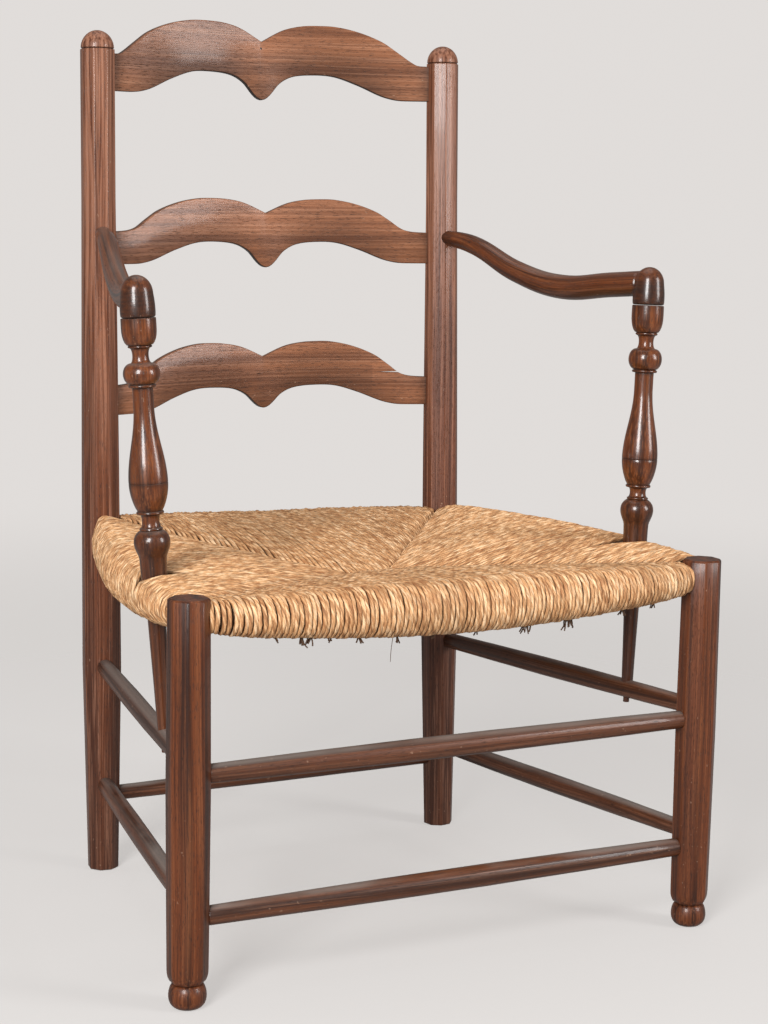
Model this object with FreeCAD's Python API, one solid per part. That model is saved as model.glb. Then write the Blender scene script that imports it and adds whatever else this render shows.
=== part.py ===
import FreeCAD, Part
import math
import os

# Ladderback armchair with a rush seat. Millimetres, +Z up, the sitter faces -Y.
# While it is built, Y = 0 is the line through the two front legs. At the end the
# whole chair moves so that the origin lies on the floor under its middle.

V = FreeCAD.Vector
LEFT = -1
RIGHT = 1

# Layout of the four uprights, measured between their axes
front_leg_spacing = 578.6
front_leg_height = 400.0
post_foot_spacing = 437.0
post_top_spacing = 430.0
post_foot_y = 438.6
post_top_y = 462.0
post_height = 944.5

# Front leg, soft eight-sided with a turned ball foot
leg_foot_radius = 19.7
leg_body_radius = 21.0
leg_top_radius = 19.9
leg_rim_round = 2.6
leg_shoulder_round = 12.0
leg_shoulder_inset = 5.0
leg_neck_radius = 15.2
leg_neck_height = 25.5
leg_neck_lap = 1.0
ball_foot_radius = 18.6
ball_foot_flat = 9.0
leg_widest_height = 215.0

# Rear post, straight taper both ways from the thick part below the seat
post_foot_radius = 17.0
post_thick_radius = 21.5
post_thick_height = 235.0
post_seat_radius = 20.6
post_seat_height = 470.0
post_top_radius = 18.6
post_slim_height = 760.0
post_dome_height = 19.8
scribe_depth = 0.7

# Hand-planed flats: distance of a flat from the axis, as a share of the radius
flat_share = 0.962

# Sides of a turned round, of a stretcher, of a pin and of an arm's section, and
# steps along bent pieces
round_sides = 16
stretcher_sides = 12
tenon_sides = 10
arm_sides = 12
arm_stations = 12
rail_stations = 4

# How far cutting tools and tenons run past the face that they cut or join
overrun = 8.0
column_reach = 60.0
board_reach = 120.0
blank_depth = 200.0

# Fits: a tenon or a through part in its hole, and the space past a tenon's end
fit = 0.1
end_space = 0.6

# Stretchers: axis heights at the front and at the rear, tenon and body radii
tenon_radius = 7.5
side_tenon_depth = 27.0
tenon_web = 1.0
shoulder_space = 0.4
shoulder_round = 1.6
front_upper_height = 228.5
front_lower_height = 88.4
rear_stretcher_height = 85.7
left_upper_front_height = 238.5
left_upper_rear_height = 238.0
right_upper_front_height = 240.0
right_upper_rear_height = 233.0
side_lower_front_height = 102.8
side_lower_rear_height = 101.1
upper_front_height = {LEFT: left_upper_front_height, RIGHT: right_upper_front_height}
upper_rear_height = {LEFT: left_upper_rear_height, RIGHT: right_upper_rear_height}
front_stretcher_radius = 11.4
front_stretcher_end_radius = 9.5
side_stretcher_radius = 10.6
side_stretcher_end_radius = 9.0
rear_stretcher_radius = 9.4
rear_stretcher_end_radius = 8.6

# Seat rails inside the rush: flat oval bars bowed outwards, with round tenons
rail_thickness = 20.0
rail_edge_in = 3.9
rail_edge_down = 5.4
rail_tenon_radius = 7.0
rail_end_taper = 0.74
front_rail_width = 28.0
side_rail_width = 32.0
rear_rail_width = 26.0
front_rail_below_leg_top = 20.0
side_rail_above_front_rail = 4.0
front_rail_bow = 16.0
side_rail_bow = 10.0
rear_rail_bow = 2.0

front_rail_height = front_leg_height - front_rail_below_leg_top
rear_rail_height = front_rail_height
side_rail_height = front_rail_height + side_rail_above_front_rail

# Rush: cord thickness round the rails, stuffing in the middle of each side, dish
cord_thickness = 6.3
rush_space = 0.3
rush_fill_top = 6.0
rush_fill_bottom = 17.0
rush_fill_out = 4.0
rush_pillow = 7.0
rush_under_pillow = 2.8
rush_nose_drop = 5.1
rush_inset_share = 0.62
seat_dish = 27.0
seat_centre_y = 205.0
seat_centre_thickness = 22.0
seat_bridge = 42.0
rush_stations = 7
rush_hole_space = 1.2

# Slats: common sizes, then each slat's own heights above its lower end corner
slat_thickness = 8.0
slat_tenon_reach = 23.0
slat_end_offset = 5.0
top_slat_below_post_top = 64.9
middle_slat_below_top_slat = 190.6
lower_slat_below_middle_slat = 168.7
top_slat_level = post_height - top_slat_below_post_top
middle_slat_level = top_slat_level - middle_slat_below_top_slat
lower_slat_level = middle_slat_level - lower_slat_below_middle_slat
slats = {
    "top_slat": dict(
        level=top_slat_level, end=40.8, cusp=63.6, crest=84.6, tip=-2.6, arch=27.8, bow=40.0, spread=1.0),
    "middle_slat": dict(
        level=middle_slat_level, end=36.8, cusp=58.0, crest=74.8, tip=-4.7, arch=24.9, bow=28.0, spread=0.94),
    "lower_slat": dict(
        level=lower_slat_level, end=33.6, cusp=59.6, crest=76.6, tip=-0.8, arch=24.8, bow=36.0, spread=0.94),
}
crest_at = 68.0
arch_at = 63.0
crest_fall_end = 188.0
arch_fall_end = 172.0

# Peg through the left end of the top slat
peg_radius = 2.2
peg_below_post_top = 35.5
peg_offset = 2.0
peg_depth = 30.0

# Arms: round serpentine bars that end in a knob turned down onto the support
arm_joint_out = 293.2
arm_joint_y = 124.5
left_arm_above_leg_top = 252.5
right_arm_above_leg_top = 258.0
left_arm_rise = 69.5
right_arm_rise = 61.5
arm_rear_out = 216.0
arm_end_radius = 8.8
arm_thick_radius = 13.8
arm_tenon_radius = 6.0
knob_radius = 17.3
knob_height = 39.0
knob_swell_height = 6.0
knob_dome_height = 16.8
arm_dip = 8.0
arm_full_share = 0.6

arm_joint_height = {
    LEFT: front_leg_height + left_arm_above_leg_top,
    RIGHT: front_leg_height + right_arm_above_leg_top,
}
arm_rear_height = {
    LEFT: arm_joint_height[LEFT] + left_arm_rise,
    RIGHT: arm_joint_height[RIGHT] + right_arm_rise,
}

# The arm's bends: share of the way back to the post, outwards, and down to its dip
arm_bends = (
    (1.0, 0.0, 0.0),
    (0.87, 0.14, 0.13),
    (0.63, 0.36, 0.72),
    (0.4, 0.565, 1.0),
    (0.15, 0.79, 0.87),
    (0.03, 0.95, 0.8),
)

# Arm support, a turned baluster: sizes from the arm downwards
cup_radius = 17.2
cup_straight = 16.0
cup_length = 29.5
bead_radius = 11.6
bead_length = 3.0
cove_radius = 8.4
cove_rim_radius = 9.8
cove_length = 14.5
ball_radius = 18.1
ball_length = 23.0
ring_radius = 13.5
ring_length = 3.0
vase_neck_radius = 10.2
vase_belly_radius = 19.3
vase_foot_radius = 12.4
vase_length = 119.5
lower_cove_radius = 9.2
lower_cove_length = 10.8
lower_ring_radius = 11.4
lower_ring_length = 2.4
lower_ball_radius = 18.0
lower_ball_length = 25.5
support_stem_radius = 13.5
support_stem_end_radius = 13.0
support_top_tenon_radius = 9.0
support_top_tenon_length = 20.0
rail_hole_radius = 9.6
support_foot_radius = 6.3
support_foot_sink = 3.0
support_stub_radius = 3.4
support_stub_reach = 4.5
support_foot_y = 107.8
turning_edge = 0.9

# The vase: share of its length from the foot, and how far it swells there
vase_belly_share = 0.23
vase_shape = (
    (0.05, 0.38), (0.13, 0.8), (0.23, 1.0), (0.35, 0.9), (0.48, 0.62), (0.62, 0.3), (0.8, 0.07),
)


def spline(points):
    curve = Part.BSplineCurve()
    curve.interpolate(points)
    return curve.toShape()


def blend(a, b, share):
    return a + (b - a) * share


def read_profile(stops, height):
    """Radius at a height, straight between the listed (height, radius) stops."""
    if height <= stops[0][0]:
        return stops[0][1]
    for (low, r_low), (high, r_high) in zip(stops, stops[1:]):
        if height <= high:
            return blend(r_low, r_high, (height - low) / (high - low))
    return stops[-1][1]


def ring(radius, height, angles):
    return [V(radius * math.cos(angle), radius * math.sin(angle), height) for angle in angles]


def even_angles(sides):
    return [2 * math.pi * (side + 0.5) / sides for side in range(sides)]


def planed_angles():
    """Corners of a hand-planed round: eight wide flats with narrow ones between."""
    half = math.acos(flat_share)
    angles = []
    for side in range(8):
        middle = side * math.pi / 4
        angles += [middle - half, middle + half]
    return angles


def patches(corners):
    """Flat faces over four corners: one where they lie flat, otherwise two."""
    if corners[2].distanceToPoint(corners[3]) < 0.001:
        corners = corners[:3]
    if corners[0].distanceToPoint(corners[1]) < 0.001:
        corners = corners[1:]
    if len(corners) < 3:
        return []
    normal = (corners[1] - corners[0]).cross(corners[-1] - corners[0]).normalize()
    if len(corners) == 3 or abs((corners[2] - corners[0]).dot(normal)) < 0.00001:
        return [Part.Face(Part.makePolygon(corners + [corners[0]]))]
    first = [corners[0], corners[1], corners[2], corners[0]]
    second = [corners[0], corners[2], corners[3], corners[0]]
    return [Part.Face(Part.makePolygon(first)), Part.Face(Part.makePolygon(second))]


def skin(rings):
    """Closed solid through rings of points, with flat faces from ring to ring."""
    faces = []
    for points in (rings[0], rings[-1]):
        if points[0].distanceToPoint(points[1]) > 0.001:
            faces.append(Part.Face(Part.makePolygon(points + [points[0]])))
    for lower, upper in zip(rings, rings[1:]):
        for here in range(len(lower)):
            after = (here + 1) % len(lower)
            faces += patches([lower[here], lower[after], upper[after], upper[here]])
    shell = Part.Shell(faces)
    shell.sewShape()
    solid = Part.Solid(shell)
    if solid.Volume < 0:
        solid.reverse()
    return solid


def turned(profile, angles):
    """Turned or planed piece on the Z axis from (radius, height) steps."""
    return skin([ring(radius, height, angles) for radius, height in profile])


def rounded(start, peak, end, low, high, steps):
    """Steps of a bead, ball or cove between two levels, as (radius, height)."""
    profile = []
    for step in range(steps + 1):
        angle = math.pi * step / steps
        share = (1 - math.cos(angle)) / 2
        base = blend(start, end, share)
        profile.append((base + (peak - base) * math.sin(angle), blend(low, high, share)))
    return profile


def swelling(start, peak, end, low, high, steps):
    """Steps of a long gentle swelling between two levels, as (radius, height)."""
    profile = []
    for step in range(steps + 1):
        share = step / steps
        base = blend(start, end, share)
        profile.append((base + (peak - base) * math.sin(math.pi * share), blend(low, high, share)))
    return profile


def stand_along(shape, start, end):
    """Moves a shape made along +Z so that its axis runs from start towards end."""
    turn = FreeCAD.Rotation(V(0, 0, 1), end.sub(start))
    return shape.transformed(FreeCAD.Placement(start, turn).toMatrix(), True)


def rod(start, end, radius):
    """Round pin from one point to another, inside the given radius."""
    pin = turned([(radius, 0), (radius, end.sub(start).Length)], even_angles(tenon_sides))
    return stand_along(pin, start, end)


def bore(start, end, radius):
    """Round hole tool that stays outside the given radius all round."""
    return rod(start, end, radius / math.cos(math.pi / tenon_sides))


def biggest(shape):
    return max(shape.Solids, key=lambda solid: solid.Volume)


# Uprights

def leg_stops():
    return [
        (leg_neck_height, leg_foot_radius),
        (leg_widest_height, leg_body_radius),
        (front_leg_height, leg_top_radius),
    ]


def post_stops():
    return [
        (0.0, post_foot_radius),
        (post_thick_height, post_thick_radius),
        (post_seat_height, post_seat_radius),
        (post_slim_height, post_top_radius),
        (post_height, post_top_radius),
    ]


def leg_axis(side, height):
    return V(side * front_leg_spacing / 2, 0, height)


def post_axis(side, height):
    share = height / post_height
    out = blend(post_foot_spacing, post_top_spacing, share) / 2
    return V(side * out, blend(post_foot_y, post_top_y, share), height)


def front_leg(side, sockets):
    low = leg_neck_height
    neck = leg_neck_radius * flat_share ** 3
    profile = [(neck, low)]
    for turn in (0, 30, 60, 90):
        angle = math.radians(turn)
        profile.append((
            leg_foot_radius - leg_shoulder_inset * (1 - math.sin(angle)),
            low + leg_shoulder_round * (1 - math.cos(angle)),
        ))
    straight = front_leg_height - leg_rim_round
    base = low + leg_shoulder_round
    for height in (blend(base, leg_widest_height, 0.5), leg_widest_height, straight):
        profile.append((read_profile(leg_stops(), height), height))
    bevel = leg_rim_round * (1 - math.sin(math.pi / 4))
    profile.append((leg_top_radius - bevel, front_leg_height - bevel))
    profile.append((leg_top_radius - leg_rim_round, front_leg_height))
    body = turned(profile, planed_angles())
    ball = rounded(ball_foot_flat, ball_foot_radius, neck, 0, low - leg_neck_lap, 5)
    foot = turned(ball + [(neck, low + leg_neck_lap)], even_angles(round_sides))
    leg = body.fuse(foot)
    leg.translate(leg_axis(side, 0))
    return biggest(leg.cut(sockets))


def post_blank():
    """Upright post on the Z axis: flats up to the scribed line, round dome above."""
    scribe = post_height - post_dome_height
    profile = [(post_foot_radius, -overrun), (post_foot_radius, 0)]
    for height in (post_thick_height, post_seat_height, post_slim_height, scribe - scribe_depth):
        profile.append((read_profile(post_stops(), height), height))
    profile.append((post_top_radius - scribe_depth, scribe))
    for turn in (4, 27, 49, 70, 90):
        angle = math.radians(turn)
        profile.append((
            post_top_radius * math.cos(angle),
            scribe + post_dome_height * math.sin(angle),
        ))
    profile[-1] = (0, post_height)
    return turned(profile, planed_angles())


def rear_post(side, sockets):
    post = stand_along(post_blank(), post_axis(side, 0), post_axis(side, post_height))
    half = blank_depth / 2
    below = Part.makeBox(blank_depth, blank_depth, half, post_axis(side, 0).add(V(-half, -half, -half)))
    return biggest(post.cut([below] + sockets))


# Round members between two uprights

class Member:
    """Turned bar from one upright's axis to another's, with its two sockets."""

    def __init__(self, start, end, radii, start_size, end_size):
        end_radius, middle_radius, tenon = radii
        start_radius, start_depth = start_size
        stop_radius, stop_depth = end_size
        self.start = start
        self.end = end
        length = end.sub(start).Length
        first = start_radius + shoulder_space
        last = length - stop_radius - shoulder_space
        curl = shoulder_round
        bevel = curl * (1 - math.sin(math.pi / 4))
        profile = [(tenon, start_radius - start_depth), (tenon, first)]
        profile += [(end_radius - bevel, first + bevel)]
        profile += swelling(end_radius, middle_radius, end_radius, first + curl, last - curl, 4)
        profile += [(end_radius - bevel, last - bevel)]
        profile += [(tenon, last), (tenon, length - stop_radius + stop_depth)]
        self.solid = stand_along(turned(profile, even_angles(stretcher_sides)), start, end)
        self.sockets = [
            self.socket(start, end, tenon, start_radius, start_depth),
            self.socket(end, start, tenon, stop_radius, stop_depth),
        ]

    def socket(self, near, far, tenon, upright_radius, depth):
        way = far.sub(near).normalize()
        bottom = near.add(way * (upright_radius - depth - end_space))
        mouth = near.add(way * (upright_radius + overrun))
        return bore(bottom, mouth, tenon + fit)


def short_depth(upright_radius, crossing_radius):
    """Depth of a tenon that stops before the one that crosses it."""
    return upright_radius - crossing_radius - tenon_web


def cross_member(axis, stops, height, radii):
    """Bar between the left and the right upright of the front or the rear."""
    radius = read_profile(stops(), height)
    size = (radius, short_depth(radius, tenon_radius))
    return Member(axis(LEFT, height), axis(RIGHT, height), radii, size, size)


def side_member(side, front_height, rear_height):
    radii = (side_stretcher_end_radius, side_stretcher_radius, tenon_radius)
    start_size = (read_profile(leg_stops(), front_height), side_tenon_depth)
    end_size = (read_profile(post_stops(), rear_height), side_tenon_depth)
    return Member(leg_axis(side, front_height), post_axis(side, rear_height), radii, start_size, end_size)


# Seat frame

class Rail:
    """Seat rail between two uprights' axes, bowed outwards, with round tenons."""

    def __init__(self, start, end, width, bow, start_size, end_size):
        self.start = start
        self.end = end
        self.width = width
        self.bow = bow
        self.start_size = start_size
        self.end_size = end_size
        self.length = end.sub(start).Length
        self.along = end.sub(start).normalize()
        self.out = self.along.cross(V(0, 0, 1))

    def offset(self, share):
        """How far the centre line stands out from the straight line at a share."""
        return self.bow * (1 - (2 * share - 1) ** 2)

    def at(self, run, out, height):
        """Point from a run along the rail, an outward distance and a height."""
        point = self.start.add(self.along * run).add(self.out * out)
        return V(point.x, point.y, height)

    def bar(self, extra):
        """Bowed bar without its tenons, grown all round by extra."""
        first = self.start_size[0] / 2
        last = self.length - self.end_size[0] / 2
        thick = rail_thickness / 2 + extra
        edge = thick - rail_edge_down
        sections = []
        for step in range(rail_stations + 1):
            run = blend(first, last, step / rail_stations)
            centre = self.offset(run / self.length)
            taper = rail_end_taper if step in (0, rail_stations) else 1.0
            wide = self.width / 2 * taper + extra
            flat = wide - rail_edge_in
            corners = (
                (wide, edge), (flat, thick), (-flat, thick), (-wide, edge),
                (-wide, -edge), (-flat, -thick), (flat, -thick), (wide, -edge),
            )
            sections.append([self.at(run, centre + out, self.start.z + up) for out, up in corners])
        return skin(sections)

    def build(self, uprights, holes):
        bar = self.bar(0).cut(uprights)
        tenons = []
        for near, way, size in (
            (self.start, self.along, self.start_size),
            (self.end, self.along * -1, self.end_size),
        ):
            inner = near.add(way * (size[0] - size[1]))
            outer = near.add(way * (size[0] + overrun))
            tenons.append(rod(inner, outer, rail_tenon_radius))
        bar = biggest(bar).fuse(tenons)
        return biggest(bar.cut(holes)) if holes else biggest(bar)

    def sockets(self):
        cut = []
        for near, way, size in (
            (self.start, self.along, self.start_size),
            (self.end, self.along * -1, self.end_size),
        ):
            inner = near.add(way * (size[0] - size[1] - end_space))
            outer = near.add(way * (size[0] + overrun))
            cut.append(bore(inner, outer, rail_tenon_radius + fit))
        return cut


def make_rails():
    front = read_profile(leg_stops(), front_rail_height)
    rear = read_profile(post_stops(), rear_rail_height)
    front_size = (front, short_depth(front, rail_tenon_radius))
    rear_size = (rear, short_depth(rear, rail_tenon_radius))
    side_front = (front, side_tenon_depth)
    side_rear = (rear, side_tenon_depth)
    return {
        "front": Rail(
            leg_axis(LEFT, front_rail_height), leg_axis(RIGHT, front_rail_height),
            front_rail_width, front_rail_bow, front_size, front_size),
        "right": Rail(
            leg_axis(RIGHT, side_rail_height), post_axis(RIGHT, side_rail_height),
            side_rail_width, side_rail_bow, side_front, side_rear),
        "rear": Rail(
            post_axis(RIGHT, rear_rail_height), post_axis(LEFT, rear_rail_height),
            rear_rail_width, rear_rail_bow, rear_size, rear_size),
        "left": Rail(
            post_axis(LEFT, side_rail_height), leg_axis(LEFT, side_rail_height),
            side_rail_width, side_rail_bow, side_rear, side_front),
    }


def rush_field(rail, inner_start, inner_end):
    """One field of the seat: sections round the rail, mitred towards the centre."""
    mean_height = (front_rail_height + side_rail_height) / 2
    roll = rail_thickness / 2 + cord_thickness
    centre_top = mean_height + roll - seat_dish
    centre_low = centre_top - seat_centre_thickness
    corner_top = mean_height + roll
    corner_low = mean_height - roll

    def run_and_depth(point):
        way = V(point.x - rail.start.x, point.y - rail.start.y, 0)
        return way.dot(rail.along), -way.dot(rail.out)

    run_a, depth_a = run_and_depth(inner_start)
    run_b, depth_b = run_and_depth(inner_end)

    def mitre(run):
        """Depth of the field at a run, and the share of the way to the centre."""
        if run < run_a:
            return depth_a * run / run_a, run / run_a
        if run > run_b:
            share = (rail.length - run) / (rail.length - run_b)
            return depth_b * share, share
        share = (run - run_a) / max(run_b - run_a, 0.001)
        return blend(depth_a, depth_b, share), 1.0

    def section(run):
        depth, share = mitre(run)
        depth = depth - rush_space / 2
        swell = math.sin(math.pi * run / rail.length)
        centre = rail.offset(run / rail.length)
        top = rail.start.z + roll + rush_fill_top * swell
        low = rail.start.z - roll - rush_fill_bottom * swell
        nose = centre + rail.width / 2 + cord_thickness + rush_fill_out * swell
        middle = rail.start.z - rush_nose_drop * swell
        inner_top = blend(corner_top, centre_top, share)
        inner_low = blend(corner_low, centre_low, share)
        outline = []
        for step in range(3):
            share_in = step / 3
            puffed = math.sin(math.pi * share_in) * rush_pillow * share
            outline.append((blend(-depth, centre, share_in), blend(inner_top, top, share_in) + puffed))
        for step in range(5):
            angle = math.pi / 2 - math.pi * step / 4
            height = blend(middle, top if angle > 0 else low, abs(math.sin(angle)))
            outline.append((centre + (nose - centre) * math.cos(angle), height))
        for step in range(2):
            share_in = (step + 1) / 2
            puffed = math.sin(math.pi * share_in) * rush_under_pillow * share
            outline.append((blend(centre, -depth, share_in), blend(low, inner_low, share_in) - puffed))
        return [rail.at(run, out, height) for out, height in outline]

    first = rail.start_size[0] * rush_inset_share
    last = rail.length - rail.end_size[0] * rush_inset_share
    runs = [blend(first, last, step / (rush_stations - 1)) for step in range(rush_stations)]
    for stop in (run_a, run_b):
        nearest = min(range(1, rush_stations - 1), key=lambda index: abs(runs[index] - stop))
        runs[nearest] = stop
    runs = sorted(set(runs))
    return skin([section(run) for run in runs])


# Back slats

def slat_outline(size, inner_half, reach):
    """Closed outline in X and Z: two crests with a cusp, two arches with a tip."""
    level, end, crest, arch = size["level"], size["end"], size["crest"], size["arch"]
    spread = size["spread"]
    top_right = [V(0, 0, level + size["cusp"])]
    for share, rise in ((0.4, 0.68), (0.7, 0.93)):
        top_right.append(V(crest_at * share, 0, level + blend(size["cusp"], crest, rise)))
    top_right.append(V(crest_at, 0, level + crest))
    for share, rise in ((0.49, 0.985), (0.633, 0.86), (0.777, 0.62), (0.867, 0.36), (0.957, 0.085)):
        place = crest_fall_end * share * spread
        top_right.append(V(place, 0, level + blend(end, crest, rise)))
    top_right.append(V(crest_fall_end, 0, level + end))
    low_right = [V(0, 0, level + size["tip"])]
    for share, rise in ((0.08, 0.05), (0.175, 0.22), (0.35, 0.63), (0.6, 0.9)):
        low_right.append(V(arch_at * share, 0, level + blend(size["tip"], arch, rise)))
    low_right.append(V(arch_at, 0, level + arch))
    for share, rise in ((0.523, 0.95), (0.686, 0.62), (0.843, 0.19), (0.93, 0.04)):
        low_right.append(V(arch_fall_end * share, 0, level + arch * rise))
    low_right.append(V(arch_fall_end, 0, level))
    stop = inner_half + reach

    def other(points):
        return [V(-point.x, 0, point.z) for point in points]

    low = other(low_right)[::-1] + low_right[1:]
    return Part.Wire([
        spline(top_right),
        Part.makeLine(top_right[-1], V(stop, 0, level + end)),
        Part.makeLine(V(stop, 0, level + end), V(stop, 0, level)),
        Part.makeLine(V(stop, 0, level), low[-1]),
        spline(low[::-1]),
        Part.makeLine(low[0], V(-stop, 0, level)),
        Part.makeLine(V(-stop, 0, level), V(-stop, 0, level + end)),
        Part.makeLine(V(-stop, 0, level + end), other(top_right)[-1]),
        spline(other(top_right)[::-1]),
    ])


def slat_places(size):
    """Middle of the slat's ends: half the clear width, and the posts' Y there."""
    height = size["level"] + size["end"] / 2
    post = post_axis(RIGHT, height)
    inner_half = post.x - read_profile(post_stops(), height)
    return inner_half, post.y, height


def slat_bend(size):
    """Radius of the slat's front face, and the Y of the centre it bends round."""
    inner_half, post_y, height = slat_places(size)
    bow = size["bow"]
    radius = (inner_half ** 2 + bow ** 2) / (2 * bow)
    return radius, post_y + slat_end_offset - slat_thickness / 2 + bow - radius


def slat_front_y(size, out):
    radius, centre_y = slat_bend(size)
    return centre_y + math.sqrt(radius ** 2 - out ** 2)


def bent_board(size, extra):
    """Bowed board of the slat's thickness, far wider than the slat."""
    radius, centre_y = slat_bend(size)
    height = slat_places(size)[2]
    centre = V(0, centre_y, height - board_reach)
    outer = Part.makeCylinder(radius + slat_thickness + extra, 2 * board_reach, centre)
    inner = Part.makeCylinder(radius - extra, 2 * board_reach, centre)
    return outer.cut(inner)


def lean_back(shape, size):
    rake = math.degrees(math.atan((post_top_y - post_foot_y) / post_height))
    place = slat_places(size)
    copy = shape.copy()
    copy.rotate(V(0, place[1], place[2]), V(1, 0, 0), -rake)
    return copy


def slat(size):
    inner_half = slat_places(size)[0]
    outline = slat_outline(size, inner_half, slat_tenon_reach)
    face = Part.Face(outline)
    face.translate(V(0, post_foot_y - blank_depth / 2, 0))
    blank = face.extrude(V(0, 2 * blank_depth, 0))
    return biggest(lean_back(blank.common(bent_board(size, 0)), size))


def slat_mortises(size):
    inner_half = slat_places(size)[0]
    past_tenon = slat_tenon_reach + end_space
    width = past_tenon + overrun
    cut = []
    for side in (LEFT, RIGHT):
        start = inner_half - overrun if side == RIGHT else -inner_half - past_tenon
        block = Part.makeBox(
            width, 2 * blank_depth, size["end"] + 2 * fit,
            V(start, post_foot_y - blank_depth / 2, size["level"] - fit))
        cut.append(lean_back(block.common(bent_board(size, fit)), size))
    return cut


def peg_ends():
    axis = post_axis(LEFT, post_height - peg_below_post_top)
    face = axis.add(V(-peg_offset, -post_top_radius * flat_share, 0))
    return face, face.add(V(0, peg_depth, 0))


# Arms and their supports

def arm_line(side):
    """Centre line of the arm from the post's face to the knob, as a smooth curve."""
    rear = arm_rear_height[side]
    post = post_axis(side, rear)
    start_y = post.y - read_profile(post_stops(), rear) * flat_share
    knob_centre = arm_joint_height[side] + knob_height - knob_radius
    low = knob_centre - arm_dip
    points = []
    for back, out, sag in arm_bends:
        points.append(V(
            side * blend(arm_rear_out, arm_joint_out, out),
            blend(arm_joint_y, start_y, back),
            blend(rear, low, sag)))
    curve = Part.BSplineCurve()
    curve.interpolate(points)
    return curve


def arm_bar(side):
    curve = arm_line(side)
    sections = []
    for step in range(arm_stations + 1):
        share = step / arm_stations
        place = blend(curve.FirstParameter, curve.LastParameter, share)
        centre, way = curve.getD1(place)
        across = V(0, 0, 1).cross(way).normalize()
        over = way.cross(across).normalize()
        radius = blend(arm_end_radius, arm_thick_radius, min(1.0, share / arm_full_share) ** 0.8)
        points = []
        for angle in even_angles(arm_sides):
            points.append(centre + across * (radius * math.cos(angle)) + over * (radius * math.sin(angle)))
        sections.append(points)
    return skin(sections)


def arm_knob(side):
    """Domed knob over the support, standing along the support's axis."""
    foot, joint = support_ends(side)
    profile = [(cup_radius, 0), (knob_radius, knob_swell_height)]
    for turn in (0, 24, 47, 70, 90):
        angle = math.radians(turn)
        drop = knob_dome_height * (1 - math.sin(angle))
        profile.append((knob_radius * math.cos(angle), knob_height - drop))
    profile[-1] = (0, knob_height)
    return stand_along(turned(profile, even_angles(round_sides)), joint, joint.add(joint.sub(foot)))


def arm(side):
    first, depth = arm_tenon(side)
    tenon = rod(first.add(V(0, -overrun, 0)), first.add(V(0, depth, 0)), arm_tenon_radius)
    foot, joint = support_ends(side)
    up = joint.sub(foot).normalize()
    hole = bore(joint.add(up * -1), joint.add(up * (support_top_tenon_length + end_space)),
                support_top_tenon_radius + fit)
    room = upright_room(post_axis, post_stops, side, arm_rear_height[side], fit)
    bar = biggest(arm_bar(side).cut(room))
    whole = bar.fuse([arm_knob(side), tenon])
    return biggest(whole.cut([hole]))


def arm_tenon(side):
    """Where the arm meets the post, and how far its tenon goes before the slat's."""
    curve = arm_line(side)
    first = curve.value(curve.FirstParameter)
    face = slat_front_y(slats["middle_slat"], abs(first.x) + arm_tenon_radius)
    return first, face - first.y - tenon_web - end_space


def arm_socket(side):
    first, depth = arm_tenon(side)
    mouth = first.add(V(0, -overrun, 0))
    return bore(mouth, first.add(V(0, depth + end_space, 0)), arm_tenon_radius + fit)


def upper_side_axis(side, y):
    front = leg_axis(side, upper_front_height[side])
    rear = post_axis(side, upper_rear_height[side])
    return front.add(rear.sub(front) * (y / rear.y))


def support_ends(side):
    """Foot on the upper side stretcher's axis, and the joint under the arm."""
    foot = upper_side_axis(side, support_foot_y)
    joint = V(side * arm_joint_out, arm_joint_y, arm_joint_height[side])
    return foot, joint


def support_levels(side):
    """Distances above the foot, along the axis, of the rail and the stretcher."""
    foot, joint = support_ends(side)
    slope = joint.sub(foot).Length / (joint.z - foot.z)
    rail_top = (side_rail_height + rail_thickness / 2 - foot.z) * slope
    rail_low = (side_rail_height - rail_thickness / 2 - foot.z) * slope
    return rail_top, rail_low


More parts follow.
